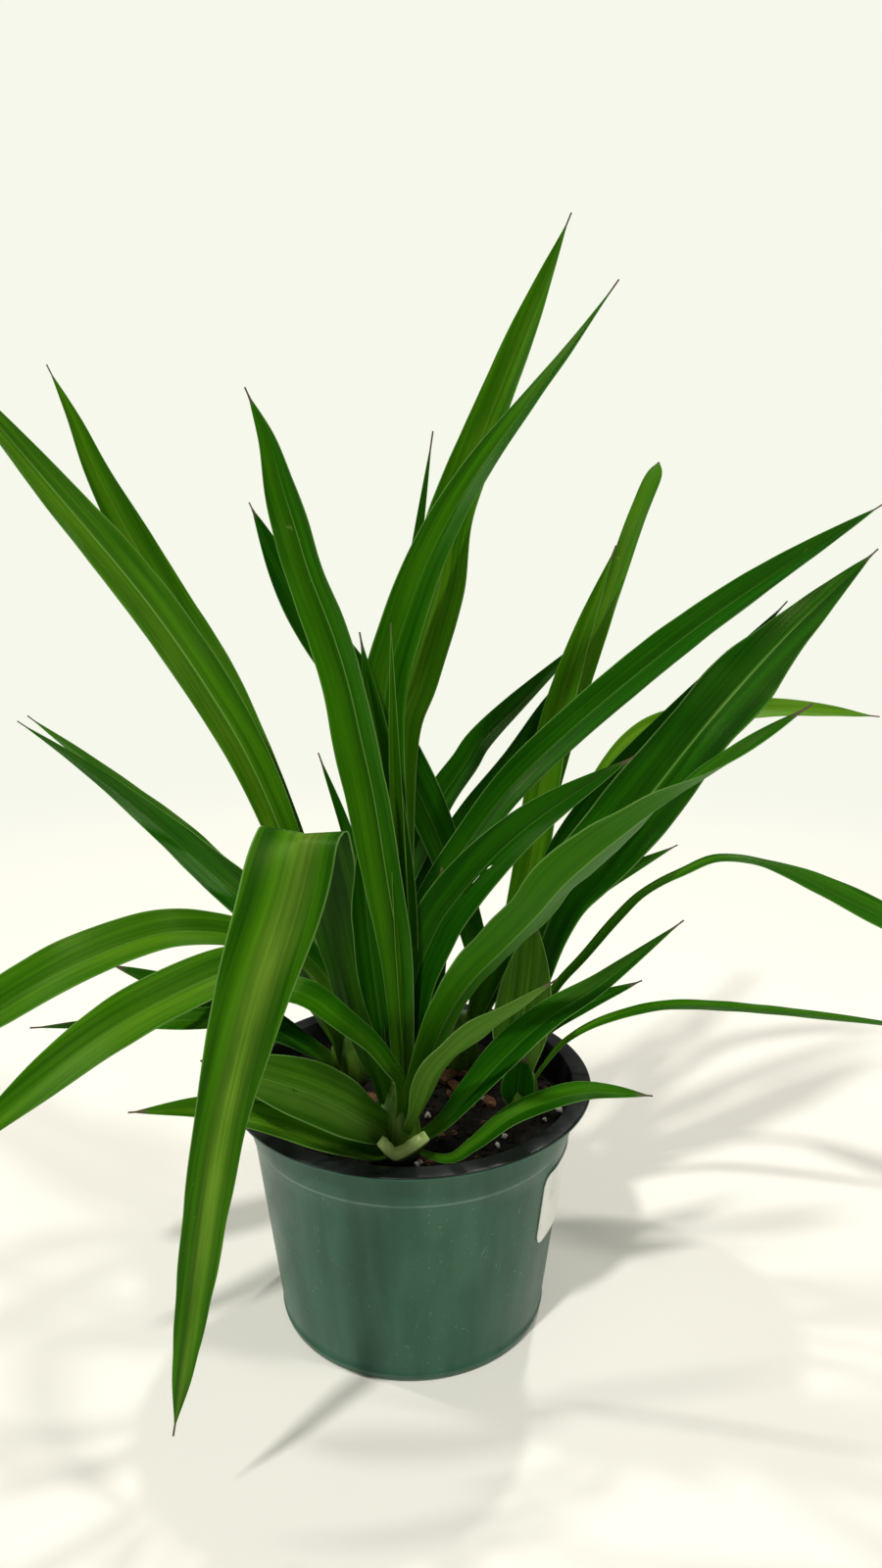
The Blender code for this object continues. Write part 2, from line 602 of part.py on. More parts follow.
def leaf_blade(leaf, crown, group):
    """A leaf as a thin closed blade, folded along its midrib."""
    points = curve_points(leaf_route(leaf, crown), leaf.step)
    bm = bmesh.new()
    rows = []
    for index, point in enumerate(points):
        t = index / (len(points) - 1)
        tangent = points[min(index + 1, len(points) - 1)] - points[max(index - 1, 0)]
        tangent.normalize()
        upper = upper_side(leaf, t, tangent)
        side = tangent.cross(upper)
        fold = math.radians(leaf.fold)
        out = side * half_width(leaf, t) * math.cos(fold)
        lift = upper * half_width(leaf, t) * math.sin(fold) * 0.5
        rows.append([bm.verts.new(point - out + lift), bm.verts.new(point - lift),
                     bm.verts.new(point + out + lift)])
    for low, high in zip(rows, rows[1:]):
        for half in range(2):
            bm.faces.new((low[half], low[half + 1], high[half + 1], high[half]))
    bmesh.ops.triangulate(bm, faces=bm.faces[:])
    blade = new_object(f"{crown.name}_{leaf.name}", bm, group)
    solid = blade.modifiers.new("thickness", "SOLIDIFY")
    solid.thickness = BLADE
    solid.offset = 0.0
    apply_modifiers(blade)
    return blade


def cut_leaf_base(group):
    """The clasping base of an outer leaf that was cut off: a thick V open to the stem."""
    bm = bmesh.new()
    left_arm, right_arm = STUB_ARMS
    rows = []
    for index, point in enumerate(STUB_KEEL):
        keel = Vector(point)
        spread = 0.7 + 0.3 * index / (len(STUB_KEEL) - 1)
        back = Vector((0.0, STUB_REACH_BACK, STUB_LIFT)) * spread
        left = keel + back - Vector((left_arm * spread, 0.0, 0.0))
        right = keel + back + Vector((right_arm * spread, 0.0, 0.0))
        rows.append([bm.verts.new(left), bm.verts.new(keel), bm.verts.new(right)])
    for low, high in zip(rows, rows[1:]):
        for side in range(2):
            bm.faces.new((low[side], low[side + 1], high[side + 1], high[side]))
    bmesh.ops.triangulate(bm, faces=bm.faces[:])
    stub = new_object("cut_leaf_base", bm, group)
    solid = stub.modifiers.new("thickness", "SOLIDIFY")
    solid.thickness = STUB_WALL
    solid.offset = 0.0
    apply_modifiers(stub)
    return stub


def keep_largest_body(obj):
    """Drop loose scraps and fill sealed hollows: only the largest closed skin stays."""
    bm = bmesh.new()
    bm.from_mesh(obj.data)
    bmesh.ops.triangulate(bm, faces=bm.faces[:])
    left = set(bm.faces)
    skins = []
    while left:
        skin = {left.pop()}
        edge_of_skin = list(skin)
        while edge_of_skin:
            face = edge_of_skin.pop()
            for edge in face.edges:
                for other in edge.link_faces:
                    if other in left:
                        left.discard(other)
                        skin.add(other)
                        edge_of_skin.append(other)
        skins.append(skin)
    skins.sort(key=lambda skin: sum(face.calc_area() for face in skin))
    for skin in skins[:-1]:
        bmesh.ops.delete(bm, geom=list(skin), context="FACES")
    bm.to_mesh(obj.data)
    bm.free()


def build_crown(crown, group, material):
    """A leafy stem: its stem and all its leaves joined into one body."""
    stem = build_stem(crown, group, material)
    blades = new_collection(f"{crown.name}_blades")
    for leaf in LEAVES[crown.name]:
        leaf_blade(leaf, crown, blades)
    if crown.name == STUB_CROWN:
        cut_leaf_base(blades)
    union = stem.modifiers.new("leaves", "BOOLEAN")
    union.operation = "UNION"
    union.solver = "EXACT"
    union.operand_type = "COLLECTION"
    union.collection = blades
    apply_modifiers(stem)
    keep_largest_body(stem)
    for blade in list(blades.objects):
        mesh = blade.data
        bpy.data.objects.remove(blade, do_unlink=True)
        bpy.data.meshes.remove(mesh)
    bpy.data.collections.remove(blades)
    return stem


def build_label(group, material):
    """The blank label: a thin curved patch with round corners on the pot's wall."""
    bm = bmesh.new()
    width = wall_radius(0.5 * (LABEL_LOW + LABEL_HIGH)) * (LABEL_RIGHT - LABEL_LEFT)
    rows = []
    for column in range(LABEL_COLUMNS + 1):
        across = width * column / LABEL_COLUMNS
        from_edge = min(across, width - across, LABEL_CORNER)
        cut = LABEL_CORNER - math.sqrt(max(0.0, LABEL_CORNER ** 2 - (LABEL_CORNER - from_edge) ** 2))
        angle = LABEL_LEFT + (LABEL_RIGHT - LABEL_LEFT) * column / LABEL_COLUMNS
        row = []
        for height in (LABEL_LOW + cut, LABEL_HIGH - cut):
            radius = wall_radius(height) + CLEARANCE + 0.0002
            row.append(bm.verts.new((radius * math.sin(angle), -radius * math.cos(angle), height)))
        rows.append(row)
    for left, right in zip(rows, rows[1:]):
        bm.faces.new((left[0], right[0], right[1], left[1]))
    bmesh.ops.triangulate(bm, faces=bm.faces[:])
    label = new_object("label", bm, group, material)
    solid = label.modifiers.new("thickness", "SOLIDIFY")
    solid.thickness = LABEL_THICKNESS
    solid.offset = 1.0
    return label


def main():
    """Build the potted yucca."""
    clear_scene()
    plant = new_collection("potted_yucca")
    cutters = new_collection("cutters")
    cutters.hide_render = True
    green = new_material("leaf_green", (0.045, 0.150, 0.006), 0.38)
    plastic = new_material("pot_green", (0.043, 0.117, 0.076), 0.45)
    mix = new_material("potting_mix", (0.012, 0.011, 0.010), 0.95)
    paper = new_material("blank_paper", (0.86, 0.86, 0.84), 0.6)
    build_pot(plant, cutters, plastic)
    build_soil(plant, cutters, mix)
    build_label(plant, paper)
    for crown in CROWNS:
        build_crown(crown, plant, green)


if __name__ == "__main__":
    main()
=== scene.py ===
"""The looks of a potted strap-leaf house plant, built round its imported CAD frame.

Metres, +Z up, the origin under the middle of the pot, the viewer at -Y.
"""

from __future__ import annotations

import functools
import logging
import math
import random
import sys
from dataclasses import dataclass
from enum import Enum

import bmesh
import bpy
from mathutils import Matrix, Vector, noise

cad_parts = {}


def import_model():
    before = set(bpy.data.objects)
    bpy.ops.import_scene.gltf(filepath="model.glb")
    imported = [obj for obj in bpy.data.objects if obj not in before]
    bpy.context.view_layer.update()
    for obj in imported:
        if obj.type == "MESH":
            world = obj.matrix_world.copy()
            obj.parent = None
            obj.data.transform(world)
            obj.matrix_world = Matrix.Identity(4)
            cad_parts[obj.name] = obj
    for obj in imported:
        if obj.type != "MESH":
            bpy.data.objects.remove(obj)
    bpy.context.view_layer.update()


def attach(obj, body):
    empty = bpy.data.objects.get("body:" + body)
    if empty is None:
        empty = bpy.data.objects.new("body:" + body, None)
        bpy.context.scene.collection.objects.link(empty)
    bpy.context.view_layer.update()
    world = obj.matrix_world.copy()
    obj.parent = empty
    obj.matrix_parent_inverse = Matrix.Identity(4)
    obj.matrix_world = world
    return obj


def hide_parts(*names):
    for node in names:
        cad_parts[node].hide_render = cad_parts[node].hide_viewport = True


LOG = logging.getLogger("potted_plant")

Point = tuple[float, float, float]
Colour = tuple[float, float, float]
Value = float | bpy.types.NodeSocket


# Node wiring


class Wiring:
    """Adds nodes to a tree and joins them."""

    def __init__(self, tree: bpy.types.NodeTree) -> None:
        """Start on a tree."""
        self.tree = tree

    def feed(self, socket: bpy.types.NodeSocket, value: object) -> None:
        """Give an input a value, or link another node's output to it."""
        if isinstance(value, bpy.types.NodeSocket):
            self.tree.links.new(value, socket)
        elif socket.type == "RGBA" and len(value) == 3:
            socket.default_value = (*value, 1.0)
        else:
            socket.default_value = value

    def add(self, kind: str, inputs: dict | None = None, **settings: object) -> bpy.types.Node:
        """Add a node.

        Args:
            kind: The node's type.
            inputs: Values or outputs for its inputs, by name or number.
            settings: The node's own settings.

        Returns:
            The node.
        """
        node = self.tree.nodes.new(kind)
        for name, value in settings.items():
            setattr(node, name, value)
        for key, value in (inputs or {}).items():
            self.feed(node.inputs[key], value)
        return node

    def math(self, operation: str, *values: Value) -> bpy.types.NodeSocket:
        """The result of one Math node."""
        node = self.add("ShaderNodeMath", dict(enumerate(values)), operation=operation)
        return node.outputs[0]

    def times(self, *values: Value) -> bpy.types.NodeSocket:
        """The product of two or more numbers."""
        return functools.reduce(functools.partial(self.math, "MULTIPLY"), values)

    def plus(self, *values: Value) -> bpy.types.NodeSocket:
        """The sum of two or more numbers."""
        return functools.reduce(functools.partial(self.math, "ADD"), values)

    def vector(self, operation: str, *values: object) -> bpy.types.NodeSocket:
        """The result of one Vector Math node."""
        node = self.add("ShaderNodeVectorMath", dict(enumerate(values)), operation=operation)
        return node.outputs["Value" if operation in ("LENGTH", "DOT_PRODUCT") else "Vector"]

    def scaled(self, vector: bpy.types.NodeSocket, factor: Value) -> bpy.types.NodeSocket:
        """A vector times a number."""
        node = self.add("ShaderNodeVectorMath", {0: vector, "Scale": factor}, operation="SCALE")
        return node.outputs["Vector"]

    def ramp(self, value: Value, start: Value, end: Value, low: Value = 0.0, high: Value = 1.0,
             smooth: bool = True) -> bpy.types.NodeSocket:
        """A number that goes from low at start to high at end.

        Args:
            value: The number read.
            start: Where the change begins.
            end: Where it is over.
            low: The result up to start.
            high: The result past end.
            smooth: Whether it eases in and out.

        Returns:
            The mapped number.
        """
        kind = "SMOOTHSTEP" if smooth else "LINEAR"
        node = self.add("ShaderNodeMapRange", {0: value, 1: start, 2: end, 3: low, 4: high},
                        interpolation_type=kind)
        return node.outputs[0]

    def join(self, x: Value, y: Value, z: Value) -> bpy.types.NodeSocket:
        """A vector of three numbers."""
        return self.add("ShaderNodeCombineXYZ", {0: x, 1: y, 2: z}).outputs[0]

    def noise(self, vector: bpy.types.NodeSocket, scale: Value = 1.0, detail: float = 2.0,
              roughness: float = 0.5) -> bpy.types.NodeSocket:
        """A cloudy pattern between 0 and 1."""
        node = self.add("ShaderNodeTexNoise", {"Vector": vector, "Scale": scale,
                                               "Detail": detail, "Roughness": roughness})
        return node.outputs[0]

    def blend(self, factor: Value, first: object, second: object,
              kind: str = "MIX") -> bpy.types.NodeSocket:
        """A colour between two, or the two multiplied or otherwise combined."""
        node = self.add("ShaderNodeMix", {0: factor, 6: first, 7: second}, data_type="RGBA",
                        blend_type=kind)
        return node.outputs[2]


class SurfaceWiring(Wiring):
    """Wires one material around its Principled shader."""

    def __init__(self, name: str) -> None:
        """Make a material of that name."""
        self.material = bpy.data.materials.new(name)
        self.material.use_nodes = True
        super().__init__(self.material.node_tree)
        self.shader = self.tree.nodes["Principled BSDF"]

    def fact(self, name: str, output: str = "Fac") -> bpy.types.NodeSocket:
        """What one of the mesh's own attributes says, as a number or as a vector."""
        return self.add("ShaderNodeAttribute", attribute_name=name).outputs[output]

    def place(self, scale: Point = (1.0, 1.0, 1.0)) -> bpy.types.NodeSocket:
        """The place on the object, in metres, stretched along its axes."""
        coordinates = self.add("ShaderNodeTexCoord")
        mapping = self.add("ShaderNodeMapping", {"Vector": coordinates.outputs["Object"],
                                                 "Scale": scale})
        return mapping.outputs[0]

    def bump(self, height: Value, distance: float, strength: float = 1.0) -> None:
        """Send a height pattern to the shader's normal."""
        node = self.add("ShaderNodeBump", {"Height": height, "Distance": distance,
                                           "Strength": strength})
        self.feed(self.shader.inputs["Normal"], node.outputs[0])

    def set(self, **inputs: object) -> None:
        """Set the shader's inputs; underscores stand for spaces."""
        for name, value in inputs.items():
            self.feed(self.shader.inputs[name.replace("_", " ")], value)


# Finishes


@dataclass(frozen=True)
class LeafFinish:
    """The skin of a strap leaf: its greens, its lines and its gloss.

    deep, mid and light are the greens of the upper face, from its darker streaks to its middle
    zone; the light middle zone is painted light, a paler zone that stands for light falling and
    shining on the blade. zone says how strong that painted zone is and edge how pale the margin
    is.
    """

    name: str
    deep: Colour
    mid: Colour
    light: Colour
    under: Colour
    zone: float = 0.5
    edge: float = 0.55
    roughness: float = 0.38

    RIB_LINE = (0.155, 0.330, 0.060)
    EDGE_LINE = (0.190, 0.360, 0.090)
    SHEATH = (0.090, 0.215, 0.012)
    DRY = (0.120, 0.085, 0.060)
    SCUFF = (0.150, 0.230, 0.050)
    SHINE = 0.11
    SHINE_TONE = (0.75, 1.0, 0.25)

    def material(self) -> bpy.types.Material:
        """Wire the leaf's material.

        Returns:
            A material that reads the leaf's own attributes: across runs from margin to
            margin, along from root to tip, vein holds both in metres.
        """
        m = SurfaceWiring(self.name)
        across = m.math("ABSOLUTE", m.fact("across"))
        along, under, dry = m.fact("along"), m.fact("under"), m.fact("dry")
        vein = m.fact("vein", "Vector")

        def pattern(wide: float, long: float, detail: float) -> bpy.types.NodeSocket:
            """A cloudy pattern with so many clouds to a metre across and along the leaf."""
            return m.noise(m.vector("MULTIPLY", vein, (wide, long, 1.0)), detail=detail)

        broad = pattern(260.0, 7.0, 2.0)
        streak = pattern(900.0, 9.0, 3.0)
        thread = pattern(3200.0, 26.0, 1.0)
        cloud = pattern(70.0, 22.0, 3.0)
        spots = pattern(420.0, 260.0, 2.0)

        colour = m.blend(m.ramp(broad, 0.32, 0.66), self.deep, self.mid)
        # Painted light: the band lays a paler zone along the blade, fading towards the tip, for
        # light falling and shining on it.
        middle = m.times(m.fact("band"), m.ramp(cloud, 0.25, 0.75, 0.35, 1.0), self.zone)
        colour = m.blend(middle, colour, self.light)
        sheath = m.times(m.ramp(along, 0.02, 0.22, 0.75, 0.0), m.ramp(broad, 0.2, 0.8, 0.5, 1.0))
        colour = m.blend(sheath, colour, self.SHEATH)
        below = m.blend(m.ramp(broad, 0.3, 0.7, 0.0, 0.4), self.under, self.mid)
        colour = m.blend(m.times(under, 0.97), colour, below)
        fibres = m.ramp(streak, 0.25, 0.75, 0.78, 1.22, smooth=False)
        threads = m.ramp(thread, 0.3, 0.7, 0.90, 1.10, smooth=False)
        tone = m.times(fibres, threads)
        colour = m.blend(1.0, colour, m.join(tone, tone, tone), kind="MULTIPLY")

        rib = m.times(m.ramp(across, 0.015, 0.050, 1.0, 0.0), m.fact("ribline"),
                      m.ramp(along, 0.75, 0.98, 1.0, 0.0))
        colour = m.blend(rib, colour, self.RIB_LINE)
        margin = m.times(m.ramp(across, 0.945, 0.985), self.edge,
                         m.ramp(cloud, 0.3, 0.6, 0.45, 1.0))
        colour = m.blend(margin, colour, self.EDGE_LINE)
        scuff = m.times(m.ramp(spots, 0.70, 0.78), m.ramp(cloud, 0.55, 0.68), 0.6)
        colour = m.blend(scuff, colour, self.SCUFF)
        colour = m.blend(dry, colour, self.DRY)

        gloss = m.ramp(cloud, 0.25, 0.75, self.roughness - 0.05, self.roughness + 0.10)
        gloss = m.plus(gloss, m.times(under, 0.10), m.times(dry, 0.25))
        m.set(Base_Color=colour, Roughness=gloss, Specular_IOR_Level=self.SHINE,
              Specular_Tint=self.SHINE_TONE)
        relief = m.plus(m.times(streak, 0.55), m.times(thread, 0.20), m.times(broad, 0.8))
        m.bump(relief, 0.00035, 0.7)
        return m.material


class LeafTone(Enum):
    """The leaf skins on this plant; they are partly real differences between leaves and partly
    painted light, a deeper tone standing for a leaf in shade and a brighter one for a lit leaf.
    """

    DEEP = LeafFinish("leaf_deep", (0.004, 0.050, 0.001), (0.010, 0.092, 0.001),
                      (0.030, 0.150, 0.002), (0.014, 0.095, 0.001), zone=0.50)
    MID = LeafFinish("leaf_mid", (0.010, 0.078, 0.001), (0.023, 0.134, 0.001),
                     (0.070, 0.225, 0.003), (0.028, 0.138, 0.001), zone=0.65, edge=0.65)
    BRIGHT = LeafFinish("leaf_bright", (0.020, 0.105, 0.001), (0.046, 0.172, 0.002),
                        (0.130, 0.285, 0.010), (0.060, 0.165, 0.005), zone=0.80, edge=0.65)
    # The streaked tone is painted light: its light green is a painted highlight streak and its
    # near-black under green is painted shade.
    STREAKED = LeafFinish("leaf_streaked", (0.010, 0.072, 0.001), (0.038, 0.160, 0.001),
                          (0.235, 0.395, 0.040), (0.002, 0.032, 0.001), zone=0.95, edge=0.70)
    YOUNG = LeafFinish("leaf_young", (0.055, 0.180, 0.002), (0.090, 0.240, 0.003),
                       (0.150, 0.320, 0.008), (0.085, 0.210, 0.006), zone=0.55)
    # The greyed tone is partly painted reflection: its grey-green stands for pale light shining
    # off the blade, over a paler skin.
    GREYED = LeafFinish("leaf_greyed", (0.018, 0.080, 0.003), (0.040, 0.130, 0.005),
                        (0.110, 0.215, 0.030), (0.075, 0.180, 0.018), zone=0.75, edge=0.75,
                        roughness=0.46)


@dataclass(frozen=True)
class SheathFinish:
    """The pale skin of the leaf bases that clasp a stem."""

    name: str = "leaf_sheath"
    shade: Colour = (0.045, 0.125, 0.008)
    light: Colour = (0.120, 0.240, 0.022)
    cut: Colour = (0.600, 0.780, 0.260)
    earth: Colour = (0.035, 0.026, 0.014)

    def material(self) -> bpy.types.Material:
        """Wire the sheath's material: upright streaks, browner at the soil."""
        m = SurfaceWiring(self.name)
        streak = m.noise(m.place((420.0, 420.0, 22.0)), detail=3.0)
        cloud = m.noise(m.place((90.0, 90.0, 60.0)), detail=2.0)
        colour = m.blend(m.ramp(streak, 0.3, 0.7), self.shade, self.light)
        colour = m.blend(m.fact("raw"), colour, self.cut)
        soiled = m.times(m.fact("earth"), m.ramp(cloud, 0.3, 0.7, 0.5, 1.0))
        colour = m.blend(soiled, colour, self.earth)
        m.set(Base_Color=colour, Roughness=m.ramp(cloud, 0.2, 0.8, 0.38, 0.55),
              Specular_IOR_Level=0.35)
        m.bump(streak, 0.0003, 0.8)
        return m.material


@dataclass(frozen=True)
class PlasticFinish:
    """A moulded plastic: faintly mottled, scuffed, with dust in its finest texture."""

    name: str
    dark: Colour
    light: Colour
    scuff: Colour
    scuffs: float
    roughness: float
    edge_highlight_height: float | None = None

    def material(self) -> bpy.types.Material:
        """Wire the plastic: flow marks down the wall, pale scuffs, orange-peel relief.

        Returns:
            The material, with a painted highlight: a paler line along the moulded step edge at
                the given height, where that edge catches the light.
        """
        m = SurfaceWiring(self.name)
        flow = m.noise(m.place((75.0, 75.0, 9.0)), detail=3.0)
        cloud = m.noise(m.place((38.0, 38.0, 30.0)), detail=4.0, roughness=0.6)
        grain = m.noise(m.place((900.0, 900.0, 900.0)), detail=2.0)
        scrape = m.noise(m.place((1300.0, 1300.0, 110.0)), detail=2.0)
        patch = m.noise(m.place((70.0, 70.0, 55.0)), detail=2.0)
        speck = m.noise(m.place((620.0, 620.0, 620.0)), detail=1.0)
        mix = m.plus(m.times(flow, 0.6), m.times(cloud, 0.4))
        colour = m.blend(m.ramp(mix, 0.36, 0.64), self.dark, self.light)
        scraped = m.times(m.ramp(scrape, 0.62, 0.74), m.ramp(patch, 0.52, 0.70))
        colour = m.blend(m.times(scraped, self.scuffs), colour, self.scuff)
        specked = m.times(m.ramp(speck, 0.70, 0.76), m.ramp(cloud, 0.45, 0.6))
        colour = m.blend(m.times(specked, self.scuffs), colour, self.scuff)
        # Painted highlight: a pale line along the step edge, which stands for light caught by
        # that moulded edge.
        if self.edge_highlight_height is not None:
            height = m.add("ShaderNodeSeparateXYZ", {0: m.place()}).outputs["Z"]
            off = m.math("ABSOLUTE", m.math("SUBTRACT", height, self.edge_highlight_height))
            edge_highlight = m.times(m.ramp(off, 0.0002, 0.0008, 0.55, 0.0),
                          m.ramp(flow, 0.3, 0.6, 0.4, 1.0))
            colour = m.blend(edge_highlight, colour, self.scuff)
        gloss = m.ramp(cloud, 0.25, 0.75, self.roughness - 0.06, self.roughness + 0.08)
        gloss = m.plus(gloss, m.times(scraped, 0.2))
        m.set(Base_Color=colour, Roughness=gloss, Specular_IOR_Level=0.30)
        relief = m.plus(m.times(grain, 0.25), m.times(flow, 0.9))
        m.bump(relief, 0.00025, 0.6)
        return m.material


@dataclass(frozen=True)
class GrainFinish:
    """A loose material: earth, bark or expanded mineral grain."""

    name: str
    dark: Colour
    light: Colour
    coarse: float
    stretch: Point = (1.0, 1.0, 1.0)
    roughness: float = 0.9
    relief: float = 0.0006

    def material(self) -> bpy.types.Material:
        """Wire the grain: two tones of one pattern at two scales, with deep relief."""
        m = SurfaceWiring(self.name)
        scale = tuple(self.coarse * part for part in self.stretch)
        body = m.noise(m.place(scale), detail=4.0, roughness=0.65)
        fine = m.noise(m.place(tuple(5.0 * part for part in scale)), detail=2.0)
        mix = m.plus(m.times(body, 0.65), m.times(fine, 0.35))
        m.set(Base_Color=m.blend(m.ramp(mix, 0.34, 0.66), self.dark, self.light),
              Roughness=m.ramp(fine, 0.2, 0.8, self.roughness - 0.08, self.roughness + 0.06),
              Specular_IOR_Level=0.15)
        m.bump(mix, self.relief, 0.9)
        return m.material


@dataclass(frozen=True)
class PaperFinish:
    """Blank coated paper that has been watered on for some weeks."""

    name: str = "blank_paper"
    clean: Colour = (0.945, 0.950, 0.905)
    stained: Colour = (0.700, 0.710, 0.620)

    def material(self) -> bpy.types.Material:
        """Wire the paper: fibres, soft cockling and faint stains."""
        m = SurfaceWiring(self.name)
        fibre = m.noise(m.place((2600.0, 2600.0, 900.0)), detail=2.0)
        cockle = m.noise(m.place((90.0, 90.0, 140.0)), detail=2.0)
        stain = m.noise(m.place((60.0, 60.0, 45.0)), detail=4.0, roughness=0.6)
        colour = m.blend(m.ramp(stain, 0.5, 0.8, 0.0, 0.8), self.clean, self.stained)
        colour = m.blend(m.ramp(fibre, 0.4, 0.8, 0.0, 0.12), colour, self.stained)
        m.set(Base_Color=colour, Roughness=m.ramp(cockle, 0.2, 0.8, 0.45, 0.62),
              Specular_IOR_Level=0.4)
        m.bump(m.plus(m.times(fibre, 0.15), cockle), 0.0004, 0.5)
        return m.material


# The green plastic's pale line at the step edge, 0.0950 up, is a painted highlight.
GREEN_PLASTIC = PlasticFinish("pot_green_plastic", (0.017, 0.082, 0.050), (0.033, 0.122, 0.070),
                              (0.190, 0.310, 0.240), scuffs=0.45, roughness=0.36,
                              edge_highlight_height=0.0950)
BLACK_PLASTIC = PlasticFinish("pot_black_plastic", (0.008, 0.010, 0.010), (0.018, 0.021, 0.021),
                              (0.100, 0.110, 0.100), scuffs=0.45, roughness=0.30)
WET_EARTH = GrainFinish("potting_mix_dark", (0.003, 0.003, 0.002), (0.015, 0.011, 0.008),
                        coarse=260.0, relief=0.0012)
CRUMB = GrainFinish("mix_crumb", (0.004, 0.003, 0.002), (0.026, 0.018, 0.011), coarse=420.0)
BARK = GrainFinish("bark_chip", (0.040, 0.018, 0.008), (0.170, 0.078, 0.036), coarse=160.0,
                   stretch=(1.0, 4.0, 4.0), roughness=0.8)
PERLITE = GrainFinish("white_grain", (0.420, 0.400, 0.350), (0.800, 0.780, 0.720),
                      coarse=700.0, roughness=0.85, relief=0.0004)


# Mesh helpers


def place_object(name: str, data: bpy.types.ID) -> bpy.types.Object:
    """Make an object in the scene from a mesh, a light or a camera."""
    obj = bpy.data.objects.new(name, data)
    bpy.context.scene.collection.objects.link(obj)
    return obj


def mesh_object(name: str, verts: list, faces: list) -> bpy.types.Object:
    """Make an object in the scene from points and faces.

    Args:
        name: The object's name, and its mesh's.
        verts: The points, in metres.
        faces: The faces, as numbers of points.

    Returns:
        The object, smooth-shaded.
    """
    mesh = bpy.data.meshes.new(name)
    mesh.from_pydata([tuple(vert) for vert in verts], [], faces)
    mesh.shade_smooth()
    return place_object(name, mesh)


def bmesh_object(name: str, bm: bmesh.types.BMesh) -> bpy.types.Object:
    """Make an object in the scene from a working mesh, and free that."""
    mesh = bpy.data.meshes.new(name)
    bm.to_mesh(mesh)
    bm.free()
    return place_object(name, mesh)


def face_outwards(obj: bpy.types.Object, merge: float = 0.0) -> None:
    """Turn an object's faces outwards, once points less than merge apart are made one."""
    bm = bmesh.new()
    bm.from_mesh(obj.data)
    if merge > 0.0:
        bmesh.ops.remove_doubles(bm, verts=bm.verts[:], dist=merge)
    bmesh.ops.recalc_face_normals(bm, faces=bm.faces[:])
    bm.to_mesh(obj.data)
    bm.free()


def shell_faces(loops: list[tuple[int, ...]], skin: int) -> list[tuple[int, ...]]:
    """The faces of a closed shell of two skins and the rim between them.

    Args:
        loops: The faces of the first skin, as numbers of points.
        skin: How many points a skin has. The second skin's points follow the first's.

    Returns:
        The faces of both skins, and two triangles for each open edge.
    """
    faces: list[tuple[int, ...]] = []
    edges: dict[tuple[int, int], None] = {}
    for loop in loops:
        faces.append(loop)
        faces.append(tuple(corner + skin for corner in reversed(loop)))
        edges.update(dict.fromkeys(zip(loop, loop[1:] + loop[:1])))
    for start, end in edges:
        if (end, start) not in edges:
            faces.append((end, start, start + skin))
            faces.append((end, start + skin, end + skin))
    return faces


def circle(radius: float, height: float, sides: int) -> list[Point]:
    """The points of a level circle round the pot's axis; just one if it has no radius."""
    if radius == 0.0:
        return [(0.0, 0.0, height)]
    angles = (math.tau * side / sides for side in range(sides))
    return [(radius * math.cos(angle), radius * math.sin(angle), height) for angle in angles]


def loft(name: str, rings: list[list[Point]], closed: bool = False) -> bpy.types.Object:
    """Make a round body from rings of points.

    Args:
        name: The object's name.
        rings: The rings, from the top down the outside. A ring of one point is a pole.
        closed: Whether the last ring is joined to the first.

    Returns:
        The body's object.
    """
    sides = max(len(ring) for ring in rings)
    verts: list[Point] = []
    numbers: list[list[int]] = []
    for ring in rings:
        numbers.append([len(verts) + side % len(ring) for side in range(sides)])
        verts += ring
    faces: list[tuple[int, ...]] = []
    for ring, following in zip(numbers, numbers[1:] + (numbers[:1] if closed else [])):
        for side in range(sides):
            after = (side + 1) % sides
            corners = (ring[side], following[side], following[after], ring[after])
            face = tuple(dict.fromkeys(corners))
            if len(face) > 2:
                faces.append(face)
    return mesh_object(name, verts, faces)


def store(obj: bpy.types.Object, name: str, values: list) -> None:
    """Give every point of an object its value of an attribute: a number or a vector."""
    vectors = isinstance(values[0], Vector)
    attribute = obj.data.attributes.new(name, "FLOAT_VECTOR" if vectors else "FLOAT", "POINT")
    flat = [part for value in values for part in value] if vectors else values
    attribute.data.foreach_set("vector" if vectors else "value", flat)


def bake(obj: bpy.types.Object) -> None:
    """Turn what an object's modifiers make into its plain mesh."""
    depsgraph = bpy.context.evaluated_depsgraph_get()
    mesh = bpy.data.meshes.new_from_object(obj.evaluated_get(depsgraph), depsgraph=depsgraph)
    old = obj.data
    obj.modifiers.clear()
    obj.data = mesh
    bpy.data.meshes.remove(old)
    mesh.name = obj.name


def hand_over(obj: bpy.types.Object, node: str) -> None:
    """Let a finished piece stand for a CAD node and report it."""
    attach(obj, "root")
    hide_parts(node)
    LOG.info("%s: %d faces, stands for %s", obj.name, len(obj.data.polygons), node)


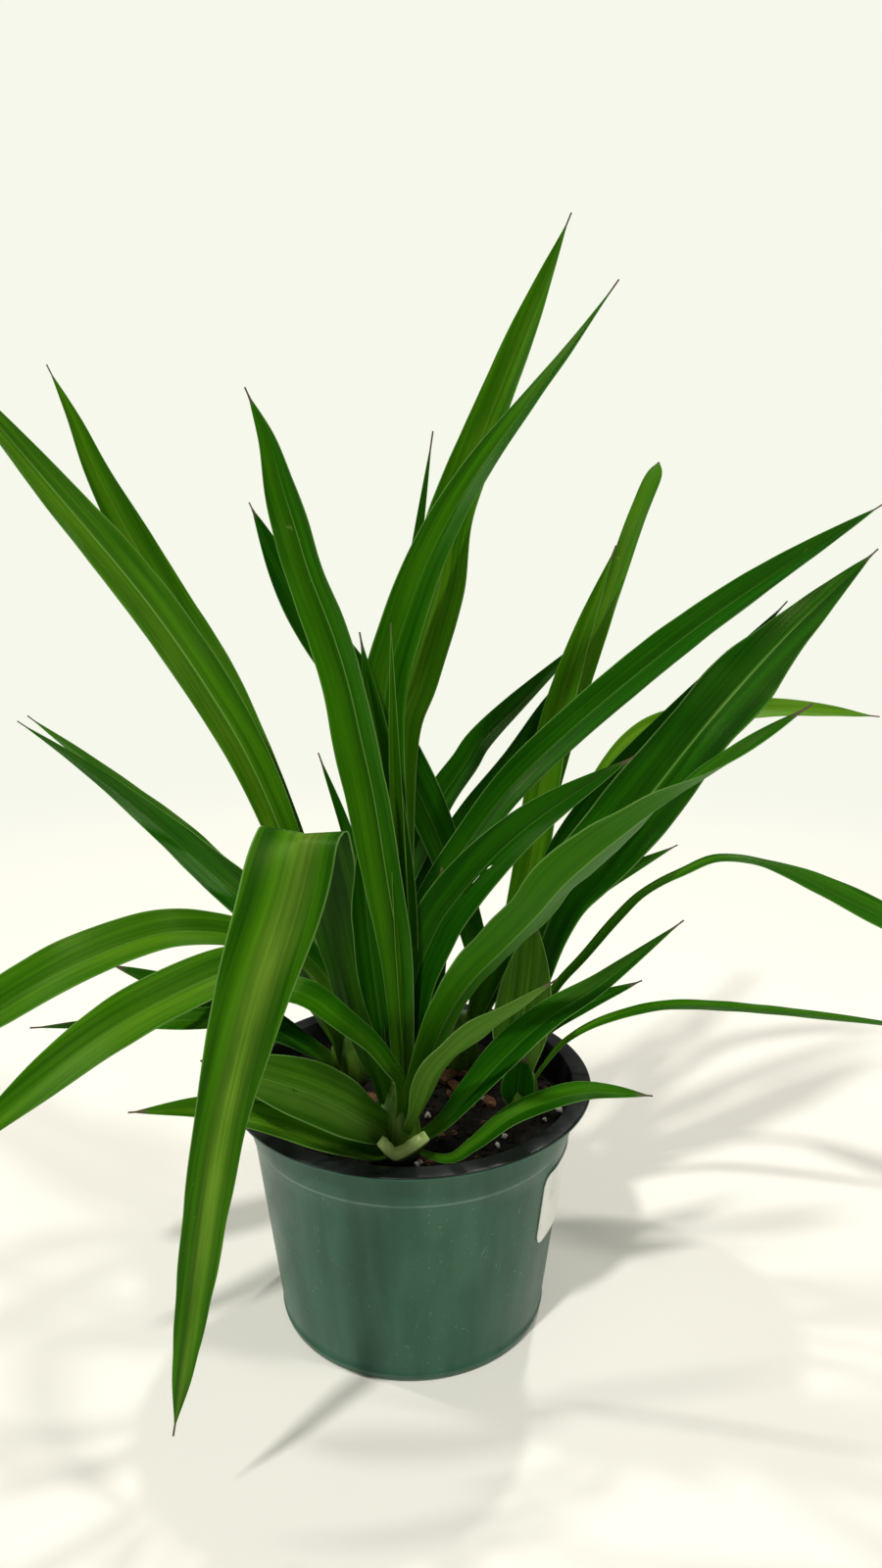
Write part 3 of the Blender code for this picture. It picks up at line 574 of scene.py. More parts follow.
def smooth_curve(points: list[Vector], step: float) -> list[Vector]:
    """Points evenly spread along a smooth curve through the given ones.

    Args:
        points: The points that the curve passes.
        step: How far apart the result's points are, about.

    Returns:
        The points, both ends included.
    """
    parts = 12
    fine: list[Vector] = []
    ends = [points[0] * 2 - points[1], *points, points[-1] * 2 - points[-2]]
    for before, start, end, after in zip(ends, ends[1:], ends[2:], ends[3:]):
        for part in range(parts):
            t = part / parts
            fine.append(0.5 * (2 * start + (end - before) * t
                               + (2 * before - 5 * start + 4 * end - after) * t * t
                               + (3 * start - before - 3 * end + after) * t ** 3))
    fine.append(points[-1])
    runs = [0.0]
    for first, second in zip(fine, fine[1:]):
        runs.append(runs[-1] + (second - first).length)
    count = max(6, round(runs[-1] / step))
    spread: list[Vector] = []
    place = 0
    for index in range(count + 1):
        wanted = runs[-1] * index / count
        while place < len(fine) - 2 and runs[place + 1] < wanted:
            place += 1
        share = (wanted - runs[place]) / max(1e-9, runs[place + 1] - runs[place])
        spread.append(fine[place].lerp(fine[place + 1], min(1.0, share)))
    return spread


# Geometry Nodes rules


class Rule:
    """A Geometry Nodes tree with named inputs, which one object after another goes through."""

    NAME = ""
    SIZES: tuple[str, ...] = ()
    COUNTS: tuple[str, ...] = ()

    def __init__(self) -> None:
        """Build the tree: its inputs, what the kind of rule wires, and the material."""
        self.tree = bpy.data.node_groups.new(self.NAME, "GeometryNodeTree")
        self.identifiers: dict[str, str] = {}
        self._add_input("Geometry", "NodeSocketGeometry")
        for name in self.SIZES:
            self._add_input(name, "NodeSocketFloat")
        for name in self.COUNTS:
            self._add_input(name, "NodeSocketInt")
        self._add_input("Material", "NodeSocketMaterial")
        self.tree.interface.new_socket("Geometry", in_out="OUTPUT",
                                       socket_type="NodeSocketGeometry")
        w = Wiring(self.tree)
        size = w.add("NodeGroupInput").outputs
        dressed = w.add("GeometryNodeSetMaterial", {"Geometry": self._wire(w, size),
                                                    "Material": size["Material"]})
        w.add("NodeGroupOutput", {0: dressed.outputs[0]})

    def _add_input(self, name: str, kind: str) -> None:
        """Give the tree a named input and note its identifier."""
        socket = self.tree.interface.new_socket(name, in_out="INPUT", socket_type=kind)
        self.identifiers[name] = socket.identifier

    def _wire(self, w: Wiring, size: bpy.types.NodeOutputs) -> bpy.types.NodeSocket:
        """Wire what the rule does.

        Args:
            w: The tree's wiring.
            size: The tree's inputs, by name.

        Returns:
            The geometry that it makes, with its instances realized.
        """
        raise NotImplementedError

    def apply(self, obj: bpy.types.Object, values: dict[str, float],
              material: bpy.types.Material) -> None:
        """Put one object through the rule and bake what comes out.

        Args:
            obj: The object.
            values: A value for each named size and count.
            material: The material of what comes out.
        """
        modifier = obj.modifiers.new(self.NAME, "NODES")
        modifier.node_group = self.tree
        for name, value in values.items():
            number = int(value) if name in self.COUNTS else float(value)
            modifier[self.identifiers[name]] = number
        modifier[self.identifiers["Material"]] = material
        bake(obj)


class StrapLeafRule(Rule):
    """Folds, tapers, waves and thickens a strap leaf round its midrib.

    The mesh that comes in only says which point is which: along the leaf, across it, and
    on its upper or under skin. The tree puts every point in its place.
    """

    NAME = "strap_leaf"
    SIZES = ("Width", "Fold", "Clasp", "Widest", "Taper", "Root", "Tip", "Hair", "Thickness",
             "Edge", "Rib", "Wave", "Wave Length", "Seed")
    CREASE = 0.12
    CLASP_END = 0.20

    def _read(self, w: Wiring, name: str, kind: str = "FLOAT") -> bpy.types.NodeSocket:
        """The node output that reads one attribute of the incoming mesh."""
        node = w.add("GeometryNodeInputNamedAttribute", data_type=kind)
        node.inputs["Name"].default_value = name
        return node.outputs["Attribute"]

    def _wire(self, w: Wiring, size: bpy.types.NodeOutputs) -> bpy.types.NodeSocket:
        """Wire the leaf's width, fold, waves and thickness, in that order.

        Args:
            w: The tree's wiring.
            size: The tree's inputs, by name.

        Returns:
            The leaf, which also has its finish's vein attribute.
        """
        along = self._read(w, "along")
        across = self._read(w, "across")
        layer = self._read(w, "layer")
        run = self._read(w, "run")
        rib = self._read(w, "midrib", "FLOAT_VECTOR")
        side = self._read(w, "side", "FLOAT_VECTOR")
        upward = self._read(w, "upward", "FLOAT_VECTOR")
        reach = w.math("ABSOLUTE", across)

        swell = w.ramp(along, 0.0, size["Widest"], size["Root"], 1.0)
        point = w.math("SUBTRACT", 1.0, size["Hair"])
        spent = w.ramp(along, size["Widest"], point, 0.0, 1.0, smooth=False)
        left = w.math("SUBTRACT", 1.0, w.math("POWER", spent, size["Taper"]))
        share = w.math("MINIMUM", swell, left)
        half = w.times(size["Width"], 0.5, share, self._read(w, "fullness"))
        half = w.math("MAXIMUM", half, w.times(size["Tip"], 0.5))

        fold = w.ramp(along, 0.0, self.CLASP_END, size["Clasp"], size["Fold"])
        soft = self.CREASE ** 2
        arc = w.math("SQRT", w.plus(w.times(across, across), soft))
        full = math.sqrt(1.0 + soft) - self.CREASE
        bend = w.math("DIVIDE", w.math("SUBTRACT", arc, self.CREASE), full)
        out = w.times(half, w.math("COSINE", fold), across)
        lift = w.times(half, w.math("SINE", fold), w.math("SUBTRACT", bend, 0.5))

        beat = w.math("DIVIDE", run, size["Wave Length"])
        margin = w.times(w.math("SIGN", across), 4.0)
        swing = w.noise(w.join(beat, margin, size["Seed"]), detail=1.0)
        swing = w.times(w.math("SUBTRACT", swing, 0.5), size["Wave"], w.times(reach, reach),
                        w.ramp(along, 0.05, 0.25), share)
        middle = w.vector("ADD", rib, w.scaled(side, out))
        middle = w.vector("ADD", middle, w.scaled(upward, w.plus(lift, swing)))

        slope = w.times(w.math("TANGENT", fold), w.math("DIVIDE", across, arc))
        normal = w.vector("NORMALIZE", w.vector("SUBTRACT", upward, w.scaled(side, slope)))
        thick = w.times(w.ramp(reach, 0.1, 1.0, size["Thickness"], size["Edge"]),
                        w.ramp(along, 0.0, 0.18, 1.6, 1.0), 0.5)
        keel = w.times(size["Rib"], w.ramp(reach, 0.0, 0.14, 1.0, 0.0),
                       w.ramp(along, 0.55, 1.0, 1.0, 0.1))
        below = w.math("LESS_THAN", layer, 0.0)
        groove = w.times(keel, w.math("SUBTRACT", below, 1.0), 0.4)
        raised = w.plus(w.times(keel, below), groove)
        offset = w.times(layer, w.plus(thick, raised))
        place = w.vector("ADD", middle, w.scaled(normal, offset))

        shaped = w.add("GeometryNodeSetPosition", {"Geometry": size["Geometry"],
                                                   "Position": place})
        vein = w.join(w.times(half, across), run, size["Seed"])
        kept = w.add("GeometryNodeStoreNamedAttribute",
                     {"Geometry": shaped.outputs[0], "Name": "vein", "Value": vein},
                     data_type="FLOAT_VECTOR", domain="POINT")
        return w.add("GeometryNodeRealizeInstances", {0: kept.outputs[0]}).outputs[0]


class GritRule(Rule):
    """Strews irregular grains over a surface."""

    NAME = "strewn_grains"
    SIZES = ("Amount", "Size", "Flat", "Roughness")
    COUNTS = ("Detail", "Seed")
    SLIMNESS = 0.72
    ROUGH_SCALE = 420.0

    def _wire(self, w: Wiring, size: bpy.types.NodeOutputs) -> bpy.types.NodeSocket:
        """Wire where the grains lie, how each is turned and sized, and how uneven it is.

        Args:
            w: The tree's wiring.
            size: The tree's inputs, by name.

        Returns:
            The grains.
        """
        spread = w.add("GeometryNodeDistributePointsOnFaces",
                       {"Mesh": size["Geometry"], "Density": size["Amount"],
                        "Seed": size["Seed"]})
        grain = w.add("GeometryNodeMeshIcoSphere", {"Radius": 0.5,
                                                    "Subdivisions": size["Detail"]})
        turn = w.add("FunctionNodeRandomValue", {0: (-0.5, -0.5, 0.0), 1: (0.5, 0.5, 6.28),
                                                 "Seed": size["Seed"]},
                     data_type="FLOAT_VECTOR")
        large = w.add("FunctionNodeRandomValue", {2: 0.35, 3: 1.0, "Seed": size["Seed"]},
                      data_type="FLOAT")
        length = w.times(w.math("POWER", large.outputs[1], 2.0), size["Size"])
        shape = w.join(length, w.times(length, self.SLIMNESS), w.times(length, size["Flat"]))
        strewn = w.add("GeometryNodeInstanceOnPoints",
                       {"Points": spread.outputs["Points"], "Instance": grain.outputs[0],
                        "Rotation": turn.outputs[0], "Scale": shape})
        whole = w.add("GeometryNodeRealizeInstances", {0: strewn.outputs[0]})
        place = w.add("GeometryNodeInputPosition").outputs[0]
        push = w.add("ShaderNodeTexNoise", {"Vector": place, "Scale": self.ROUGH_SCALE,
                                            "Detail": 2.0})
        centred = w.vector("SUBTRACT", push.outputs["Color"], (0.5, 0.5, 0.5))
        moved = w.scaled(centred, w.times(size["Size"], size["Roughness"]))
        uneven = w.add("GeometryNodeSetPosition", {"Geometry": whole.outputs[0],
                                                   "Offset": moved})
        plain = w.add("GeometryNodeSetShadeSmooth", {"Geometry": uneven.outputs[0],
                                                     "Shade Smooth": False})
        return plain.outputs[0]


# Leaves


@dataclass(frozen=True)
class Tear:
    """A place where a leaf's blade is torn through, in shares of its length and width."""

    start: float
    end: float
    inner: float
    outer: float


@dataclass(frozen=True)
class Leaf:
    """A strap leaf.

    route: the points its midrib passes after it leaves the stem.
    width: its width at the widest place, measured along the folded blade.
    looks: where its upper face looks, from the root to the tip.
    tone: its skin; the choice of tone also paints how much light the leaf is in, a deeper tone
    for a leaf in shade and a brighter one for a lit leaf.
    fold: how far each half of the blade rises from flat, in degrees.
    widest: where along the leaf it is widest, as a share of its length.
    taper: how full the blade stays between there and its point.
    root: its width where it leaves the stem, as a share of its full width.
    rib: how strong its pale midrib line is.
    band: where across the blade its lighter zone lies, painted light that stands for light
    shining on that part of the blade.
    swell: how much fuller or narrower than the plain rule it is: (along, factor) pairs.
    wave: how far its margins wave up and down.
    dry: the length of its dry tip.
    hair: the length of its thin last stretch.
    tears: places where the blade is torn through.
    """

    name: str
    route: tuple[Point, ...]
    width: float
    looks: tuple[Point, ...]
    tone: LeafTone = LeafTone.MID
    fold: float = 24.0
    widest: float = 0.45
    taper: float = 2.1
    root: float = 0.42
    rib: float = 0.2
    band: float = -0.3
    swell: tuple[tuple[float, float], ...] = ()
    wave: float = 0.0030
    dry: float = 0.007
    hair: float = 0.010
    tears: tuple[Tear, ...] = ()

    ROW = 0.0028
    COLUMNS = (-1.0, -0.955, -0.86, -0.72, -0.55, -0.38, -0.22, -0.10, -0.035,
               0.035, 0.10, 0.22, 0.38, 0.55, 0.72, 0.86, 0.955, 1.0)
    BAND_WIDTH = 0.38
    BAND_FADE = 0.75
    CLASP = 38.0
    SEED_STEP = 7.3
    COMMON_SIZES = {"Tip": 0.0007, "Thickness": 0.0007, "Edge": 0.0003, "Rib": 0.0004,
                    "Wave Length": 0.030}

    def upper_side(self, t: float, tangent: Vector) -> Vector:
        """Where the upper face looks at a share t of the length, square to the midrib."""
        looks = [Vector(look).normalized() for look in self.looks]
        place = t * (len(looks) - 1)
        index = min(int(place), max(0, len(looks) - 2))
        look = looks[index].lerp(looks[min(index + 1, len(looks) - 1)], place - index)
        return (look - tangent * look.dot(tangent)).normalized()

    def fullness(self, t: float) -> float:
        """How much fuller than the plain rule the leaf is at a share of its length."""
        before = (0.0, self.swell[0][1] if self.swell else 1.0)
        for place, factor in self.swell:
            if t < place:
                share = (t - before[0]) / (place - before[0])
                share = share * share * (3.0 - 2.0 * share)
                return before[1] + (factor - before[1]) * share
            before = (place, factor)
        return before[1]

    def torn(self, t: float, across: float) -> bool:
        """Whether the blade is missing at a place."""
        return any(tear.start <= t <= tear.end and tear.inner <= across <= tear.outer
                   for tear in self.tears)

    def cells(self, rows: int) -> list[tuple[int, int, int]]:
        """The triangles of the upper skin, two to a cell, without the torn places.

        Args:
            rows: How many rows of cells the skin has.

        Returns:
            The triangles, as numbers of points. A tear's first and last row lose half a
            cell each, so that it ends in a point.
        """
        wide = len(self.COLUMNS)
        kept: list[tuple[int, int, int]] = []
        for row in range(rows):
            t = (row + 0.5) / rows
            for column in range(wide - 1):
                across = 0.5 * (self.COLUMNS[column] + self.COLUMNS[column + 1])
                a = row * wide + column
                halves = [(a, a + 1, a + 1 + wide), (a, a + 1 + wide, a + wide)]
                if not self.torn(t, across):
                    kept += halves
                elif not self.torn(t - 1.0 / rows, across):
                    kept += halves[:1]
                elif not self.torn(t + 1.0 / rows, across):
                    kept += halves[1:]
        return kept

    def grid(self, name: str, midrib: list[Vector]) -> bpy.types.Object:
        """The leaf's closed two-skin grid, every point still on the midrib.

        Args:
            name: The object's name.
            midrib: The midrib's points, root first.

        Returns:
            The object, with the attributes that the leaf rule and the leaf finish read.
        """
        rows = len(midrib) - 1
        length = sum((b - a).length for a, b in zip(midrib, midrib[1:]))
        facts: dict[str, list] = {}
        for layer in (1.0, -1.0):
            for index, point in enumerate(midrib):
                t = index / rows
                tangent = midrib[min(index + 1, rows)] - midrib[max(index - 1, 0)]
                tangent.normalize()
                upward = self.upper_side(t, tangent)
                left = length * (1.0 - t)
                dry = min(1.0, max(0.0, (self.dry - left) / (0.5 * self.dry) + 0.3))
                here = {"midrib": point, "side": tangent.cross(upward), "upward": upward,
                        "along": t, "run": length * t, "layer": layer,
                        "under": 0.0 if layer > 0 else 1.0, "dry": dry, "ribline": self.rib,
                        "fullness": self.fullness(t)}
                for across in self.COLUMNS:
                    # The band value is painted light: a paler zone across the blade, fading
                    # towards the tip.
                    off = (across - self.band) / self.BAND_WIDTH
                    here["across"] = across
                    here["band"] = math.exp(-off ** 2) * (1.0 - self.BAND_FADE * t * t)
                    for key, value in here.items():
                        facts.setdefault(key, []).append(value)
        skin = (rows + 1) * len(self.COLUMNS)
        obj = mesh_object(name, facts["midrib"], shell_faces(self.cells(rows), skin))
        for key, values in facts.items():
            store(obj, key, values)
        return obj

    def sizes(self, seed: int) -> dict[str, float]:
        """The values of the leaf rule's named inputs for this leaf."""
        return {"Width": self.width, "Fold": math.radians(self.fold),
                "Clasp": math.radians(max(self.CLASP, self.fold)), "Widest": self.widest,
                "Taper": self.taper, "Root": self.root, "Hair": self.hair, "Wave": self.wave,
                "Seed": self.SEED_STEP * seed, **self.COMMON_SIZES}


@dataclass(frozen=True)
class CrownStem:
    """Where a leafy stem stands in the soil, and how thick and tall it is."""

    node: str
    at: tuple[float, float]
    radius: float
    height: float


@dataclass
class LeafyCrown:
    """A leafy stem: the clasped leaf bases and the leaves that rise from them.

    OUTLINE is the stem's outline: height over the soil, and share of the full radius. A
    leaf's root lies ROOT_OUT of the radius off the axis, and ROOT_RISE of the way up to the
    leaf's first point, but between ROOT_LOWEST and the share ROOT_HIGHEST of the stem.
    """

    stem: CrownStem
    leaves: tuple[Leaf, ...]

    SOIL_LEVEL = 0.1015
    OUTLINE = ((-0.024, 0.55), (-0.021, 0.80), (-0.008, 0.82), (0.0, 0.84), (0.005, 0.98),
               (0.012, 1.0), (0.020, 0.93), (0.028, 0.72), (0.034, 0.40))
    SIDES = 40
    SHEATHS = 5
    OVERLAP = 0.10
    TWIST = 9.0
    CORE = 0.95
    CAP_RISE = 0.001
    SOILED_HEIGHT = 0.006
    ROOT_OUT = 0.35
    ROOT_RISE = 0.3
    ROOT_LOWEST = 0.005
    ROOT_HIGHEST = 0.55

    def midrib(self, leaf: Leaf) -> list[Vector]:
        """The whole midrib of one leaf, from its root in the stem to its tip."""
        at, stem = self.stem.at, self.stem
        first = Vector(leaf.route[0])
        away = Vector((first.x - at[0], first.y - at[1], 0.0))
        if away.length > 0.0001:
            away = away.normalized() * self.ROOT_OUT * stem.radius
        rise = max(self.ROOT_RISE * (first.z - self.SOIL_LEVEL), self.ROOT_LOWEST)
        rise = min(rise, self.ROOT_HIGHEST * stem.height)
        root = Vector((*at, self.SOIL_LEVEL + rise)) + away
        return smooth_curve([root, *(Vector(point) for point in leaf.route)], leaf.ROW)

    def build_leaves(self, rule: StrapLeafRule,
                     skins: dict[LeafTone, bpy.types.Material]) -> None:
        """Build and hand over each leaf.

        Args:
            rule: The Geometry Nodes rule that shapes a leaf.
            skins: The material of each leaf tone.
        """
        for order, leaf in enumerate(self.leaves):
            obj = leaf.grid(f"leaf_{leaf.name}", self.midrib(leaf))
            rule.apply(obj, leaf.sizes(order + 1), skins[leaf.tone])
            hand_over(obj, self.stem.node)

    def build_stem(self, skin: bpy.types.Material) -> None:
        """Build the stem: overlapping sheaths round a short core, rooted in the mix.

        Args:
            skin: The sheath's material.
        """
        stem = self.stem
        low, high = self.OUTLINE[0][0], self.OUTLINE[-1][0]
        top = self.SOIL_LEVEL + stem.height + self.CAP_RISE
        rings: list[list[Point]] = [[(*stem.at, top)]]
        for rise, across in reversed(self.OUTLINE):
            height = rise if rise < 0.0 else rise * stem.height / high
            ring: list[Point] = []
            for side in range(self.SIDES):
                angle = math.tau * side / self.SIDES
                turn = (self.SHEATHS * side / self.SIDES + self.TWIST * max(0.0, height)) % 1.0
                lap = 1.0 + (self.OVERLAP * turn if rise > 0.0 else 0.0)
                radius = across * stem.radius * lap * self.CORE
                ring.append((stem.at[0] + radius * math.cos(angle),
                             stem.at[1] + radius * math.sin(angle), self.SOIL_LEVEL + height))
            rings.append(ring)
        rings.append([(*stem.at, self.SOIL_LEVEL + low)])
        obj = loft(f"stem_{stem.node}", rings)
        heights = [vert.co.z - self.SOIL_LEVEL for vert in obj.data.vertices]
        store(obj, "earth", [max(0.0, min(1.0, 1.0 - height / self.SOILED_HEIGHT))
                             for height in heights])
        store(obj, "raw", [0.0] * len(heights))
        obj.data.materials.append(skin)
        hand_over(obj, stem.node)


@dataclass
class CutLeafBase:
    """The thick clasping base that is left of an outer leaf which was cut off.

    keel is the line of its fold, from the stem out. arms, reach_back and lift say how far
    its left and right half reach sideways, back and up; wall is how thick it is.
    """

    node: str = "front_crown"
    keel: tuple[Point, ...] = ((-0.0045, -0.0535, 0.1060), (-0.0050, -0.0602, 0.1096),
                               (-0.0053, -0.0645, 0.1138))
    arms: tuple[float, float] = (0.0060, 0.0132)
    reach_back: tuple[float, float] = (-0.0016, 0.0040)
    lift: tuple[float, float] = (0.0074, 0.0060)
    wall: float = 0.0058
    raggedness: float = 0.0008
    columns: int = 24

    CREASE = 0.1414
    STEP = 0.0009

    def build(self, skin: bpy.types.Material) -> None:
        """Build the base as a thick curved V with a ragged pale cut.

        Args:
            skin: The sheath's material.
        """
        spine = smooth_curve([Vector(point) for point in self.keel], self.STEP)
        count = len(spine) - 1
        skins: list[list[Vector]] = [[], []]
        raw: list[list[float]] = [[], []]
        for row, point in enumerate(spine):
            t = row / count
            spread = 0.7 + 0.3 * t
            for column in range(self.columns + 1):
                a = 2.0 * column / self.columns - 1.0
                arm = 0 if a < 0.0 else 1
                bend = ((math.hypot(a, self.CREASE) - self.CREASE)
                        / (math.hypot(1.0, self.CREASE) - self.CREASE))
                ragged = 0.0
                if row == count:
                    ragged = self.raggedness * noise.noise(Vector((a * 5.0, 3.1, 0.0)))
                middle = point + Vector((a * self.arms[arm] * spread,
                                         self.reach_back[arm] * bend * spread,
                                         self.lift[arm] * bend * spread + ragged))
                normal = Vector((-0.55 * a, 0.75, 0.45)).normalized()
                half = 0.5 * self.wall * (1.0 - 0.25 * abs(a) ** 3)
                skins[0].append(middle + normal * half)
                skins[1].append(middle - normal * half)
                raw[0].append(0.75 + 0.25 * t ** 3)
                raw[1].append(1.0 if row > count - 2 else 0.3 * t)
        wide = self.columns + 1
        loops = [(a + wide, a + wide + 1, a + 1, a) for row in range(count)
                 for a in range(row * wide, row * wide + self.columns)]
        size = len(skins[0])
        obj = mesh_object("cut_leaf_base", skins[0] + skins[1], shell_faces(loops, size))
        store(obj, "raw", raw[0] + raw[1])
        store(obj, "earth", [0.0] * (2 * size))
        obj.data.materials.append(skin)
        face_outwards(obj)
        hand_over(obj, self.node)


